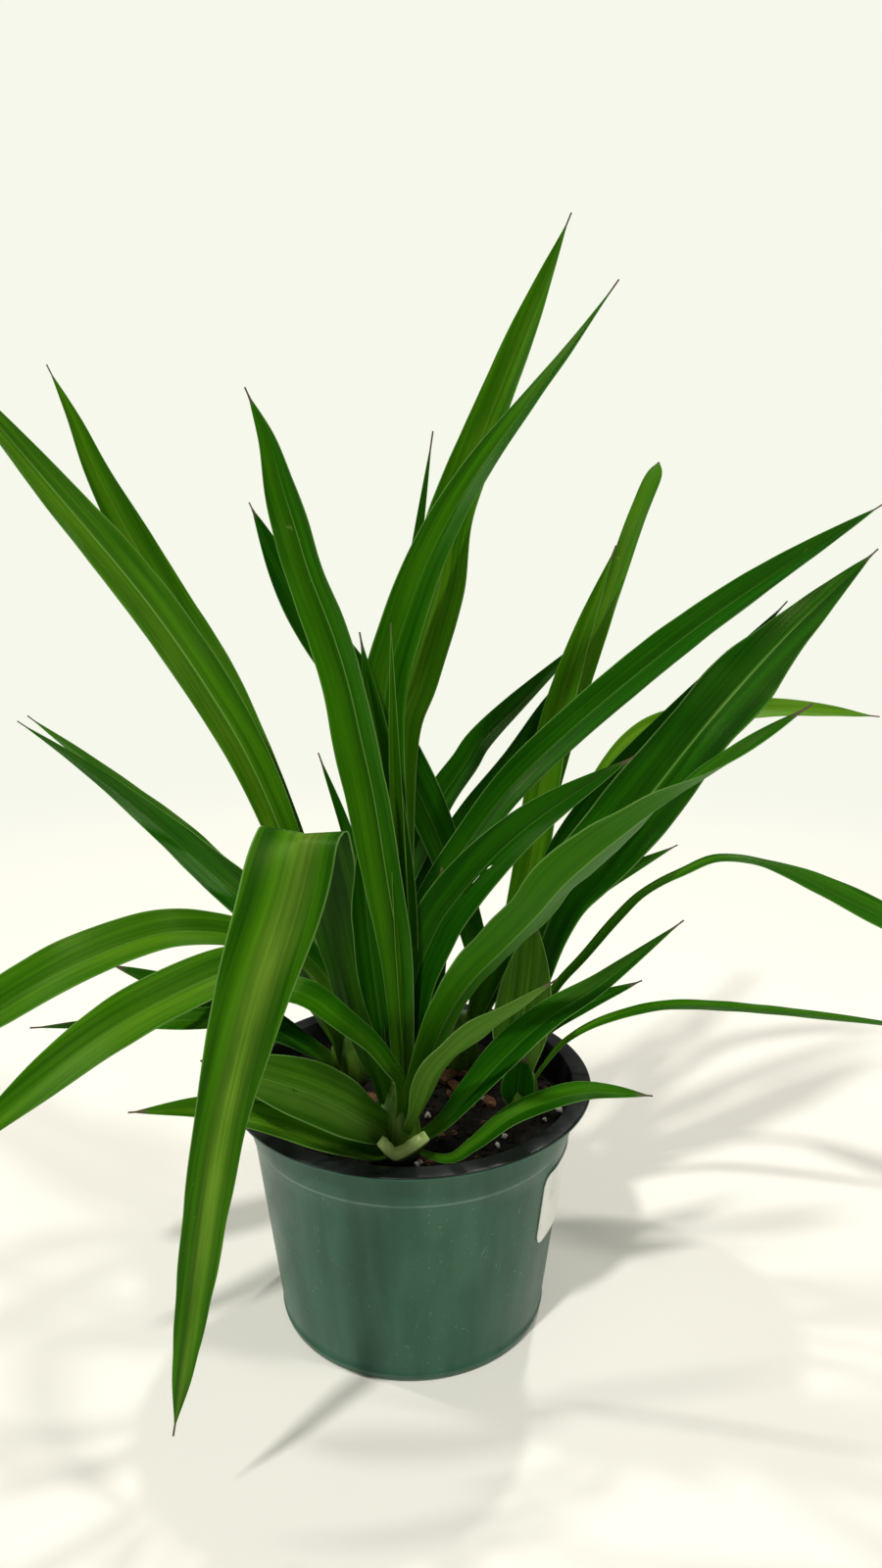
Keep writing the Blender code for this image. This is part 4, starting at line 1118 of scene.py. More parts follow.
# A leaf's tone is partly painted light: leaves that sit in shade have the deeper tones and lit
# leaves the brighter ones.
CROWNS = (
    LeafyCrown(CrownStem("front_crown", at=(-0.004, -0.046), radius=0.0090, height=0.034), (
        Leaf("bent_over", (
            (-0.011, -0.047, 0.134), (-0.016, -0.051, 0.150), (-0.023, -0.060, 0.179),
            (-0.027, -0.078, 0.216), (-0.030, -0.093, 0.245), (-0.032, -0.104, 0.261),
            (-0.033, -0.109, 0.265), (-0.035, -0.115, 0.263), (-0.040, -0.125, 0.244),
            (-0.049, -0.135, 0.216), (-0.059, -0.140, 0.178), (-0.065, -0.143, 0.147),
            (-0.071, -0.143, 0.113), (-0.077, -0.143, 0.079), (-0.083, -0.141, 0.047)),
            width=0.0300,
            looks=((0.2, 1, 0.2), (0.2, 1, 0.2), (0.1, 0.9, 0.5), (0, 0, 1), (0.1, -1, 0.2),
                   (0.1, -1, 0), (0.1, -1, 0), (0.2, -1, 0)),
            tone=LeafTone.STREAKED, fold=7, widest=0.42, taper=1.15, rib=0.0, band=-0.15,
            swell=((0.12, 0.72), (0.22, 0.56), (0.29, 0.62), (0.38, 0.95), (0.48, 1.10),
                   (0.60, 1.05), (0.68, 1.0), (0.76, 1.15), (0.84, 1.45), (0.90, 1.75),
                   (0.95, 2.2))),
        Leaf("centre_broad", (
            (-0.002, -0.045, 0.146), (-0.004, -0.044, 0.190), (-0.009, -0.043, 0.224),
            (-0.014, -0.041, 0.256), (-0.019, -0.039, 0.280), (-0.024, -0.036, 0.303),
            (-0.030, -0.033, 0.323), (-0.039, -0.027, 0.346), (-0.044, -0.023, 0.362),
            (-0.049, -0.019, 0.378), (-0.054, -0.015, 0.396), (-0.063, -0.010, 0.416)),
            width=0.0238, looks=((-0.1, -1, 0.2), (-0.5, -0.87, 0.1), (-0.3, -0.9, 0.15)),
            fold=28, widest=0.55, taper=2.3, rib=0.7, band=-0.5,
            swell=((0.50, 1.0), (0.62, 0.93), (0.74, 0.93), (0.86, 1.22))),
        Leaf("centre_narrow", (
            (-0.002, -0.040, 0.160), (-0.004, -0.036, 0.215), (-0.010, -0.030, 0.270),
            (-0.019, -0.022, 0.322)),
            width=0.0160, looks=((0.2, -1, 0.1),), fold=26),
        Leaf("centre_young", (
            (-0.001, -0.044, 0.153), (-0.003, -0.042, 0.221), (-0.005, -0.038, 0.280),
            (-0.006, -0.034, 0.327)),
            width=0.0090, looks=((0, -1, 0.1),), tone=LeafTone.BRIGHT, fold=48, dry=0.003,
            rib=0.0),
        Leaf("tallest", (
            (-0.006, -0.027, 0.200), (-0.007, -0.006, 0.271), (0.001, 0.003, 0.300),
            (0.012, 0.012, 0.336), (0.019, 0.020, 0.369), (0.043, 0.032, 0.429),
            (0.068, 0.042, 0.489)),
            width=0.0260, looks=((0, -1, 0.2), (-0.3, -1, 0.3)), tone=LeafTone.BRIGHT, fold=20,
            widest=0.52, taper=2.2, wave=0.007, band=0.0,
            swell=((0.55, 1.0), (0.68, 0.85), (0.78, 0.85), (0.88, 1.0))),
        Leaf("tall_front", (
            (-0.005, -0.032, 0.205), (-0.010, -0.023, 0.270), (-0.009, -0.019, 0.299),
            (-0.003, -0.015, 0.321), (0.008, -0.008, 0.350), (0.025, 0.000, 0.380),
            (0.047, 0.008, 0.409), (0.067, 0.016, 0.434), (0.086, 0.022, 0.460)),
            width=0.0200, looks=((0.2, -1, 0.2), (0, -1, 0.3), (-0.8, -0.7, 0.5)), fold=24,
            widest=0.5, taper=1.7),
        Leaf("behind_bend", (
            (-0.012, -0.038, 0.160), (-0.017, -0.032, 0.200), (-0.020, -0.028, 0.240)),
            width=0.0180, looks=((0.1, -1, 0.1),), tone=LeafTone.DEEP),
        Leaf("low_left_long", (
            (-0.003, -0.058, 0.141), (-0.008, -0.062, 0.153), (-0.014, -0.066, 0.164),
            (-0.025, -0.070, 0.176), (-0.037, -0.070, 0.186), (-0.048, -0.068, 0.188),
            (-0.060, -0.062, 0.181), (-0.071, -0.054, 0.170), (-0.082, -0.048, 0.166),
            (-0.110, -0.042, 0.162), (-0.163, -0.030, 0.153)),
            width=0.0130, looks=((0.2, -0.6, 0.8), (0, -0.5, 0.9)), fold=18),
        Leaf("low_left_curled", (
            (-0.013, -0.058, 0.109), (-0.028, -0.066, 0.119), (-0.049, -0.073, 0.132),
            (-0.064, -0.077, 0.139), (-0.080, -0.081, 0.144), (-0.107, -0.086, 0.145)),
            width=0.0150, looks=((0.1, -0.4, 0.9), (0, -0.5, 0.9)), tone=LeafTone.BRIGHT,
            fold=18),
        Leaf("low_left_torn", (
            (-0.009, -0.055, 0.118), (-0.018, -0.062, 0.128), (-0.029, -0.070, 0.140),
            (-0.044, -0.077, 0.151), (-0.078, -0.086, 0.167)),
            width=0.0265, looks=((0.2, -0.7, 0.7), (0.1, -0.6, 0.8)), tone=LeafTone.GREYED,
            fold=12, widest=0.5, wave=0.006,
            tears=(Tear(start=0.60, end=0.62, inner=-0.10, outer=-0.035),)),
        Leaf("right_long_strap", (
            (-0.002, -0.038, 0.165), (0.006, -0.024, 0.202), (0.028, -0.008, 0.234),
            (0.053, 0.002, 0.262), (0.100, 0.018, 0.300), (0.147, 0.033, 0.332),
            (0.213, 0.050, 0.371)),
            width=0.0195, looks=((0, -0.9, 0.4), (-0.2, -0.6, 0.8)), tone=LeafTone.DEEP,
            widest=0.62, taper=2.5, root=0.5),
        Leaf("right_front_broad", (
            (0.004, -0.055, 0.139), (0.013, -0.063, 0.170), (0.023, -0.072, 0.193),
            (0.036, -0.083, 0.213), (0.047, -0.093, 0.230), (0.058, -0.103, 0.248),
            (0.082, -0.119, 0.276), (0.104, -0.125, 0.293), (0.130, -0.130, 0.313)),
            width=0.0260,
            looks=((-0.5, 0.9, 0.2), (-0.5, 0.9, 0.1), (-0.5, 0.8, 0), (-0.5, -0.6, 0.8)),
            fold=18, widest=0.55, rib=0.6, wave=0.005),
        Leaf("right_torn", (
            (0.001, -0.042, 0.172), (0.010, -0.039, 0.199), (0.020, -0.037, 0.215),
            (0.038, -0.034, 0.235), (0.058, -0.031, 0.251), (0.093, -0.025, 0.272)),
            width=0.0235, looks=((-0.2, -0.9, 0.4), (-0.3, -0.7, 0.7)), tone=LeafTone.DEEP,
            fold=20,
            tears=(Tear(start=0.525, end=0.600, inner=0.05, outer=0.08),
                   Tear(start=0.590, end=0.622, inner=0.12, outer=0.20))),
        Leaf("right_low_pointed", (
            (0.013, -0.052, 0.119), (0.026, -0.057, 0.138), (0.041, -0.059, 0.157),
            (0.057, -0.058, 0.172), (0.078, -0.055, 0.185), (0.111, -0.050, 0.210)),
            width=0.0170, looks=((-0.3, -0.5, 0.8),), tone=LeafTone.DEEP, fold=20, taper=1.4),
        Leaf("right_lowest", (
            (0.016, -0.061, 0.109), (0.027, -0.060, 0.115), (0.042, -0.057, 0.126),
            (0.058, -0.054, 0.132), (0.076, -0.050, 0.134), (0.103, -0.045, 0.129)),
            width=0.0110, looks=((-0.1, -0.5, 0.9),), fold=20, widest=0.6, root=0.25),
        Leaf("right_pale_underside", (
            (0.004, -0.059, 0.130), (0.010, -0.068, 0.152), (0.021, -0.077, 0.170),
            (0.039, -0.087, 0.188), (0.056, -0.096, 0.205)),
            width=0.0150, looks=((-0.6, 0.8, -0.1),), tone=LeafTone.GREYED, fold=14, wave=0.006),
        Leaf("inner_dark", (
            (0.004, -0.038, 0.160), (0.010, -0.033, 0.195), (0.014, -0.028, 0.225)),
            width=0.0180, looks=((0, -1, 0.3),), tone=LeafTone.DEEP),
    )),
    LeafyCrown(CrownStem("left_crown", at=(-0.030, 0.018), radius=0.0090, height=0.030), (
        Leaf("left_past_frame", (
            (-0.037, 0.022, 0.147), (-0.051, 0.032, 0.183), (-0.062, 0.043, 0.218),
            (-0.086, 0.060, 0.265), (-0.128, 0.086, 0.321), (-0.181, 0.110, 0.379),
            (-0.243, 0.130, 0.448)),
            width=0.0250, looks=((0.3, -0.9, 0.3), (0.3, -0.8, 0.5)), tone=LeafTone.BRIGHT,
            fold=20, widest=0.55, rib=0.8, band=-0.4),
        Leaf("left_behind", (
            (-0.036, 0.034, 0.140), (-0.043, 0.042, 0.165), (-0.065, 0.062, 0.217),
            (-0.099, 0.093, 0.281), (-0.125, 0.110, 0.320), (-0.158, 0.124, 0.378),
            (-0.172, 0.128, 0.411), (-0.184, 0.130, 0.437)),
            width=0.0250, looks=((0.3, -0.9, 0.3), (0.5, -0.8, 0.3)), tone=LeafTone.BRIGHT,
            fold=20, widest=0.55, band=-0.2),
        Leaf("left_middle", (
            (-0.040, 0.014, 0.150), (-0.060, 0.017, 0.178), (-0.086, 0.026, 0.198),
            (-0.129, 0.058, 0.222), (-0.168, 0.082, 0.243), (-0.204, 0.100, 0.261)),
            width=0.0232, looks=((0.2, -0.6, 0.8),), tone=LeafTone.DEEP, fold=26, widest=0.35,
            taper=1.2),
        Leaf("left_middle_behind", (
            (-0.040, 0.026, 0.144), (-0.059, 0.032, 0.172), (-0.084, 0.040, 0.193),
            (-0.113, 0.058, 0.213), (-0.143, 0.076, 0.230), (-0.171, 0.091, 0.246),
            (-0.200, 0.104, 0.263)),
            width=0.0130, looks=((0.2, -0.6, 0.8),), fold=22),
        Leaf("left_arch_high", (
            (-0.038, 0.008, 0.149), (-0.049, -0.002, 0.171), (-0.063, -0.012, 0.185),
            (-0.084, -0.025, 0.196), (-0.108, -0.038, 0.199), (-0.145, -0.052, 0.187),
            (-0.189, -0.058, 0.160)),
            width=0.0270, looks=((0.2, -0.5, 0.8), (0, -0.5, 0.9)), tone=LeafTone.BRIGHT,
            fold=18, widest=0.85, root=0.3),
        Leaf("left_arch_low", (
            (-0.036, 0.007, 0.130), (-0.045, -0.014, 0.161), (-0.054, -0.032, 0.182),
            (-0.069, -0.050, 0.190), (-0.092, -0.071, 0.187), (-0.115, -0.088, 0.178),
            (-0.148, -0.105, 0.155), (-0.170, -0.110, 0.135)),
            width=0.0230, looks=((0.2, -0.6, 0.8), (0, -0.6, 0.8)), tone=LeafTone.BRIGHT,
            fold=16, widest=0.6),
        Leaf("left_low_dark", (
            (-0.046, 0.010, 0.122), (-0.063, 0.002, 0.137), (-0.090, -0.005, 0.154),
            (-0.133, -0.010, 0.174)),
            width=0.0180, looks=((0.1, -0.5, 0.9),), tone=LeafTone.DEEP, fold=20),
        Leaf("back_needle", (
            (-0.020, 0.024, 0.160), (-0.014, 0.032, 0.220), (-0.006, 0.040, 0.290),
            (-0.000, 0.045, 0.334), (0.010, 0.052, 0.402)),
            width=0.0100, looks=((0, -1, 0.1),), fold=30, dry=0.012),
        Leaf("back_thin", (
            (-0.022, 0.022, 0.160), (-0.0273, 0.032, 0.210), (-0.044, 0.045, 0.257)),
            width=0.0078, looks=((0.2, -1, 0.2),), tone=LeafTone.DEEP, dry=0.008),
        Leaf("behind_centre", (
            (-0.020, 0.024, 0.150), (-0.008, 0.040, 0.190), (0.011, 0.058, 0.227),
            (0.025, 0.064, 0.247), (0.038, 0.069, 0.264), (0.087, 0.085, 0.308)),
            width=0.0170, looks=((-0.2, -0.9, 0.4),), tone=LeafTone.DEEP),
        Leaf("behind_centre_low", (
            (-0.014, 0.030, 0.154), (0.004, 0.044, 0.191), (0.028, 0.058, 0.223),
            (0.051, 0.066, 0.249), (0.069, 0.072, 0.278), (0.083, 0.076, 0.295)),
            width=0.0150, looks=((-0.2, -0.9, 0.4),), tone=LeafTone.DEEP, widest=0.7),
    )),
    LeafyCrown(CrownStem("back_crown", at=(0.024, 0.030), radius=0.0080, height=0.030), (
        Leaf("back_left", (
            (0.032, 0.030, 0.150), (0.025, 0.034, 0.183), (0.006, 0.045, 0.232),
            (-0.021, 0.054, 0.279), (-0.052, 0.060, 0.323), (-0.075, 0.065, 0.371)),
            width=0.0230, looks=((0.2, -1, 0.1), (0.5, -1, 0.2)), tone=LeafTone.DEEP, fold=22,
            widest=0.6, taper=2.8),
        Leaf("back_right_bent", (
            (0.036, 0.036, 0.140), (0.052, 0.044, 0.170), (0.069, 0.066, 0.236),
            (0.086, 0.086, 0.291), (0.107, 0.112, 0.348), (0.117, 0.126, 0.370),
            (0.123, 0.136, 0.381), (0.128, 0.147, 0.390)),
            width=0.0105,
            looks=((-0.3, -1, 0.2), (-0.3, -1, 0.2), (-0.3, -0.9, 0.4), (-0.2, -0.4, 1)),
            tone=LeafTone.BRIGHT, fold=14, widest=0.8, taper=9.0, dry=0.002, hair=0.001),
        Leaf("back_right_upright", (
            (0.034, 0.032, 0.135), (0.043, 0.034, 0.150), (0.056, 0.042, 0.201),
            (0.066, 0.060, 0.257), (0.080, 0.076, 0.303), (0.099, 0.092, 0.350)),
            width=0.0185, looks=((-0.2, -1, 0.2),), tone=LeafTone.BRIGHT, fold=26, band=0.1),
        Leaf("back_right_level", (
            (0.044, 0.042, 0.145), (0.064, 0.048, 0.180), (0.089, 0.070, 0.228),
            (0.114, 0.092, 0.254), (0.146, 0.108, 0.262), (0.195, 0.118, 0.264),
            (0.247, 0.122, 0.259)),
            width=0.0155, looks=((-0.2, -0.8, 0.5), (0, -0.5, 0.9)), tone=LeafTone.YOUNG,
            fold=20, widest=0.75, taper=2.4),
        Leaf("back_right_low", (
            (0.036, 0.028, 0.145), (0.047, 0.030, 0.168), (0.065, 0.034, 0.180),
            (0.100, 0.047, 0.196), (0.130, 0.060, 0.207)),
            width=0.0140, looks=((-0.2, -0.6, 0.8),), fold=20),
    )),
    LeafyCrown(CrownStem("right_crown", at=(0.050, -0.004), radius=0.0080, height=0.022), (
        Leaf("right_very_broad", (
            (0.051, 0.000, 0.143), (0.058, -0.001, 0.180), (0.069, -0.002, 0.207),
            (0.091, -0.002, 0.232), (0.128, 0.007, 0.278), (0.163, 0.018, 0.315),
            (0.203, 0.026, 0.352)),
            width=0.0340, looks=((-0.3, -0.9, 0.4), (-0.4, -0.8, 0.5)), tone=LeafTone.DEEP,
            fold=14, widest=0.5, rib=0.6, wave=0.011,
            swell=((0.45, 1.0), (0.62, 0.92), (0.72, 1.12), (0.82, 1.0))),
        Leaf("right_behind_broad", (
            (0.054, 0.014, 0.150), (0.066, 0.026, 0.200), (0.086, 0.033, 0.233),
            (0.120, 0.041, 0.271), (0.154, 0.049, 0.306), (0.173, 0.052, 0.327)),
            width=0.0200, looks=((-0.4, -0.7, 0.6),), tone=LeafTone.DEEP),
        Leaf("right_arch", (
            (0.063, 0.008, 0.148), (0.079, 0.010, 0.169), (0.102, 0.008, 0.198),
            (0.122, 0.003, 0.213), (0.138, -0.001, 0.220), (0.159, -0.006, 0.218),
            (0.190, -0.018, 0.206), (0.227, -0.030, 0.190)),
            width=0.0170,
            looks=((-0.3, -0.7, 0.6), (-0.2, -0.4, 0.9), (0, -0.2, 1), (0.4, -0.6, 0.8)),
            fold=10, widest=0.85, root=0.3,
            swell=((0.0, 0.9), (0.30, 0.65), (0.50, 0.50), (0.64, 0.45), (0.76, 0.9),
                   (0.85, 1.1))),
        Leaf("right_short", (
            (0.059, 0.010, 0.129), (0.080, 0.015, 0.142), (0.109, 0.024, 0.151)),
            width=0.0100, looks=((-0.2, -0.5, 0.8),), tone=LeafTone.DEEP, fold=20),
        Leaf("right_low_arch", (
            (0.062, 0.004, 0.118), (0.073, 0.011, 0.127), (0.092, 0.016, 0.135),
            (0.120, 0.018, 0.141), (0.160, 0.012, 0.142), (0.215, -0.001, 0.141),
            (0.247, -0.010, 0.139)),
            width=0.0068, looks=((-0.1, -0.5, 0.9), (0, -0.3, 1), (0.1, -0.4, 0.9)), fold=16,
            root=0.3),
        Leaf("young_shoot", (
            (0.048, -0.013, 0.112), (0.050, -0.014, 0.133)),
            width=0.0170, looks=((-0.1, -1, 0.3),), tone=LeafTone.DEEP, fold=26, widest=0.4,
            dry=0.004),
        Leaf("young_rolled", (
            (0.048, -0.013, 0.132), (0.051, -0.016, 0.164), (0.054, -0.019, 0.199)),
            width=0.0290, looks=((-0.2, -1, 0.1),), tone=LeafTone.GREYED, fold=30, band=0.7),
    )),
)


# Pot, mix and label


@dataclass
class NurseryPot:
    """The low round nursery pot: a flat lip, a step under it, a base ring, eight drains."""

    rim_radius: float = 0.0825
    height: float = 0.114
    base_radius: float = 0.0615
    slope: float = 0.122
    wall: float = 0.0014
    lip: float = 0.0018
    step_height: float = 0.0945
    step_out: float = 0.0007
    ring_height: float = 0.004
    ring_out: float = 0.0005
    floor: float = 0.0018
    channel: tuple[float, float] = (0.024, 0.053)
    channel_rise: float = 0.0025
    drains: int = 8
    drain_radius: float = 0.0045
    drain_circle: float = 0.0385
    sides: int = 144

    def wall_radius(self, height: float) -> float:
        """Outer radius of the plain wall at a height."""
        return self.base_radius + self.slope * height

    def inner_radius(self, height: float) -> float:
        """Inner radius of the wall at a height."""
        return self.wall_radius(height) - self.wall

    def outline(self) -> list[tuple[float, float]]:
        """The pot's outline: the lip and outer wall down, the underside in, the inside up."""
        top, under = self.height, self.height - self.lip
        outer, inner = self.wall_radius, self.inner_radius
        shoulder = outer(under) + self.step_out
        low, high = self.channel
        raised = self.channel_rise
        line = [(inner(top), top - 0.0005), (inner(top) + 0.0003, top - 0.0001),
                (inner(top) + 0.0009, top), (self.rim_radius - 0.0010, top),
                (self.rim_radius - 0.0003, top - 0.0002), (self.rim_radius, top - 0.0006),
                (self.rim_radius, under + 0.0005), (self.rim_radius - 0.0005, under),
                (shoulder + 0.0016, under - 0.0002), (shoulder + 0.0005, under - 0.0007),
                (shoulder, under - 0.0020)]
        for height in (0.106, 0.100, self.step_height + 0.0004):
            line.append((outer(height) + self.step_out, height))
        line.append((outer(self.step_height) + 0.0004, self.step_height - 0.0003))
        line.append((outer(self.step_height), self.step_height - 0.0010))
        for height in (0.086, 0.076, 0.066, 0.056, 0.046, 0.036, 0.026, 0.016, 0.008):
            line.append((outer(height), height))
        line += [(outer(self.ring_height), self.ring_height + 0.0008),
                 (outer(self.ring_height) + self.ring_out, self.ring_height),
                 (self.base_radius + self.ring_out, 0.0018), (self.base_radius, 0.0007),
                 (self.base_radius - 0.0010, 0.0001), (self.base_radius - 0.0020, 0.0),
                 (high, 0.0), (high - 0.0005, 0.0003), (high - 0.002, raised),
                 (low + 0.002, raised), (low + 0.0005, 0.0003), (low, 0.0), (0.006, 0.0),
                 (0.0, 0.0)]
        line += [(0.0, self.floor), (low + 0.001, self.floor), (low + 0.003, raised + self.floor),
                 (high - 0.003, raised + self.floor), (high, self.floor),
                 (inner(0.004) - 0.0012, self.floor + 0.0002), (inner(0.005), 0.005)]
        for height in (0.030, 0.060, 0.090, 0.106):
            line.append((inner(height), height))
        return line

    def build(self) -> bpy.types.Object:
        """Turn the outline into the pot and drill its drains.

        Returns:
            The pot's object.
        """
        rings = [circle(radius, height, self.sides) for radius, height in self.outline()]
        pot = loft("nursery_pot", rings, closed=True)
        face_outwards(pot)
        cutters = [self.drain_cutter(math.tau * (index + 0.5) / self.drains)
                   for index in range(self.drains)]
        for cutter in cutters:
            cut = pot.modifiers.new("drain", "BOOLEAN")
            cut.operation = "DIFFERENCE"
            cut.solver = "EXACT"
            cut.object = cutter
        bake(pot)
        for cutter in cutters:
            bpy.data.objects.remove(cutter, do_unlink=True)
        return pot

    def drain_cutter(self, angle: float) -> bpy.types.Object:
        """The round peg that cuts the drain at an angle round the floor."""
        bm = bmesh.new()
        bmesh.ops.create_cone(bm, cap_ends=True, segments=28, radius1=self.drain_radius,
                              radius2=self.drain_radius, depth=0.02)
        bmesh.ops.translate(bm, verts=bm.verts[:], vec=(self.drain_circle * math.cos(angle),
                                                        self.drain_circle * math.sin(angle), 0.0))
        return bmesh_object("drain", bm)

    def dress(self, pot: bpy.types.Object) -> None:
        """Give the outside its green plastic and the lip and inside their black one.

        Args:
            pot: The pot's object.
        """
        pot.data.materials.clear()
        pot.data.materials.append(GREEN_PLASTIC.material())
        pot.data.materials.append(BLACK_PLASTIC.material())
        for face in pot.data.polygons:
            centre = face.center
            radius = math.hypot(centre.x, centre.y)
            inner_half = radius < self.wall_radius(centre.z) - 0.5 * self.wall
            inside = centre.z > 0.9 * self.floor and inner_half
            under_floor = face.normal.z < -0.3 and centre.z < 0.01
            lip = centre.z > self.height - 0.5 * self.lip and face.normal.z > 0.5
            face.material_index = 1 if (inside and not under_floor) or lip else 0
        pot.data.shade_smooth()
        pot.data.set_sharp_from_angle(angle=math.radians(42.0))
        hand_over(pot, "pot")


@dataclass(frozen=True)
class Grit:
    """One kind of loose grain strewn over the mix.

    amount is grains per square metre, size the length of a grain, flat its height as a
    share of its length, detail how finely its ball is divided, and uneven how rough it is.
    """

    name: str
    finish: GrainFinish
    amount: float
    size: float
    flat: float
    detail: int
    seed: int
    uneven: float = 0.8

    def strew(self, rule: GritRule, surface: bpy.types.Object) -> bpy.types.Object:
        """Strew the grains over a surface and bake them.

        Args:
            rule: The Geometry Nodes rule that strews grains.
            surface: The object that the grains lie on.

        Returns:
            The grains as one object.
        """
        obj = place_object(self.name, surface.data.copy())
        values = {"Amount": self.amount, "Size": self.size, "Flat": self.flat,
                  "Roughness": self.uneven, "Detail": self.detail, "Seed": self.seed}
        rule.apply(obj, values, self.finish.material())
        return obj


@dataclass
class PottingMix:
    """The dark potting mix with its crumbs, bark chips and white grains."""

    pot: NurseryPot
    level: float = 0.1015
    clearance: float = 0.0003
    mound: float = 0.0012
    settled: float = 0.0004
    foot: float = 0.010
    bottom: float = 0.0058
    bottom_radius: float = 0.051
    sides: int = 120
    rings: int = 46

    LUMPS = ((0.0016, 70.0), (0.0012, 190.0), (0.0006, 520.0))
    STEM_FOOT = 0.78
    STEM_MARGIN = 0.002
    WALL_MARGIN = 0.003
    GRID_STEP = 0.003
    TOP_LIFT = 0.0002
    LUMP_ROUGHNESS = 0.45
    LUMP_WIDTH = 0.6
    LUMP_TILT = 0.35
    STREWN = (
        Grit("mix_crumbs", CRUMB, amount=52000.0, size=0.0042, flat=0.75, detail=1, seed=5),
        Grit("mix_bark", BARK, amount=3600.0, size=0.0085, flat=0.38, detail=1, seed=11),
        Grit("mix_white_grains", PERLITE, amount=1500.0, size=0.0036, flat=0.85, detail=2,
             seed=23),
    )
    WHITE_GRAINS = (((0.0041, -0.0537), 0.0042), ((0.0415, -0.0331), 0.0036),
                    ((0.0382, -0.0394), 0.0030), ((0.0679, -0.0091), 0.0034),
                    ((0.0604, -0.0176), 0.0030), ((-0.0191, -0.0448), 0.0052))
    CHIPS = (((0.0160, 0.0192), 0.013), ((0.0259, 0.0211), 0.011), ((0.0206, 0.0097), 0.010),
             ((-0.0183, 0.0006), 0.009), ((0.0095, -0.0515), 0.007), ((0.0061, -0.0500), 0.006),
             ((0.0271, -0.0056), 0.009), ((0.0362, -0.0038), 0.010), ((-0.0259, -0.0331), 0.007))

    def surface(self, x: float, y: float) -> float:
        """Height of the mix: a low lumpy mound that falls off at the wall."""
        reach = math.hypot(x, y) / self.pot.inner_radius(self.level)
        fade = max(0.0, 1.0 - reach ** 8)
        place = Vector((x, y, 0.3))
        lumps = sum(height * noise.noise(place * scale) for height, scale in self.LUMPS)
        return (self.level + fade * (self.mound * (1.0 - reach * reach) + lumps)
                - self.settled)

    def in_stem(self, x: float, y: float) -> bool:
        """Whether a place lies in a stem or just beside one."""
        return any(math.dist((x, y), crown.stem.at)
                   < crown.stem.radius * self.STEM_FOOT + self.STEM_MARGIN for crown in CROWNS)

    def build_body(self) -> bpy.types.Object:
        """The mix itself: a closed body that fills the pot."""
        top = self.pot.inner_radius(self.level) - self.clearance
        rings: list[list[Point]] = [[(0.0, 0.0, self.surface(0.0, 0.0))]]
        for ring in range(1, self.rings + 1):
            level = circle(top * (ring / self.rings) ** 0.9, 0.0, self.sides)
            rings.append([(x, y, self.surface(x, y)) for x, y, _ in level])
        for height in (0.08, 0.045, self.foot):
            radius = self.pot.inner_radius(height) - self.clearance
            rings.append(circle(radius, height, self.sides))
        rings.append(circle(self.bottom_radius, self.bottom, self.sides))
        rings.append(circle(0.0, self.bottom, self.sides))
        body = loft("potting_mix", rings)
        body.data.materials.append(WET_EARTH.material())
        return body

    def build_top(self) -> bpy.types.Object:
        """The open top of the mix, where grains can lie: clear of wall and stems."""
        bm = bmesh.new()
        reach = self.pot.inner_radius(self.level) - self.WALL_MARGIN
        count = int(reach / self.GRID_STEP)
        grid: dict[tuple[int, int], bmesh.types.BMVert] = {}
        for i in range(-count, count + 1):
            for j in range(-count, count + 1):
                x, y = i * self.GRID_STEP, j * self.GRID_STEP
                if math.hypot(x, y) < reach and not self.in_stem(x, y):
                    grid[(i, j)] = bm.verts.new((x, y, self.surface(x, y) + self.TOP_LIFT))
        for i, j in list(grid):
            corners = [grid.get(key) for key in ((i, j), (i + 1, j), (i + 1, j + 1), (i, j + 1))]
            if all(corners):
                bm.faces.new(corners)
        return bmesh_object("mix_top", bm)

    def lump(self, bm: bmesh.types.BMesh, at: tuple[float, float], size: float, flat: float,
             seed: int) -> None:
        """Add one irregular grain to a mesh, half sunk in the surface.

        Args:
            bm: The mesh.
            at: Where it lies.
            size: Its length.
            flat: Its height as a share of its length.
            seed: What makes its shape its own.
        """
        chance = random.Random(seed)
        turn = chance.uniform(0.0, math.pi)
        tilt = chance.uniform(-self.LUMP_TILT, self.LUMP_TILT)
        made = bmesh.ops.create_icosphere(bm, subdivisions=2, radius=0.5)
        for vert in made["verts"]:
            rough = noise.noise(vert.co * 2.4 + Vector((seed, 0.0, 0.0)))
            length = size * (1.0 + self.LUMP_ROUGHNESS * rough)
            x = vert.co.x * length
            y = vert.co.y * length * self.LUMP_WIDTH
            z = vert.co.z * length * flat + tilt * x
            spot = (at[0] + x * math.cos(turn) - y * math.sin(turn),
                    at[1] + x * math.sin(turn) + y * math.cos(turn))
            vert.co = (*spot, self.surface(*at) + z + 0.25 * size * flat)

    def build_lumps(self, name: str, places: tuple, flat: float,
                    finish: GrainFinish) -> bpy.types.Object:
        """The larger grains of one kind, each in its own place.

        Args:
            name: The object's name.
            places: Where each lies, and its length.
            flat: Their height as a share of their length.
            finish: Their finish.

        Returns:
            The grains as one object.
        """
        bm = bmesh.new()
        for seed, (at, size) in enumerate(places):
            self.lump(bm, at, size, flat, seed + 3)
        obj = bmesh_object(name, bm)
        obj.data.materials.append(finish.material())
        return obj

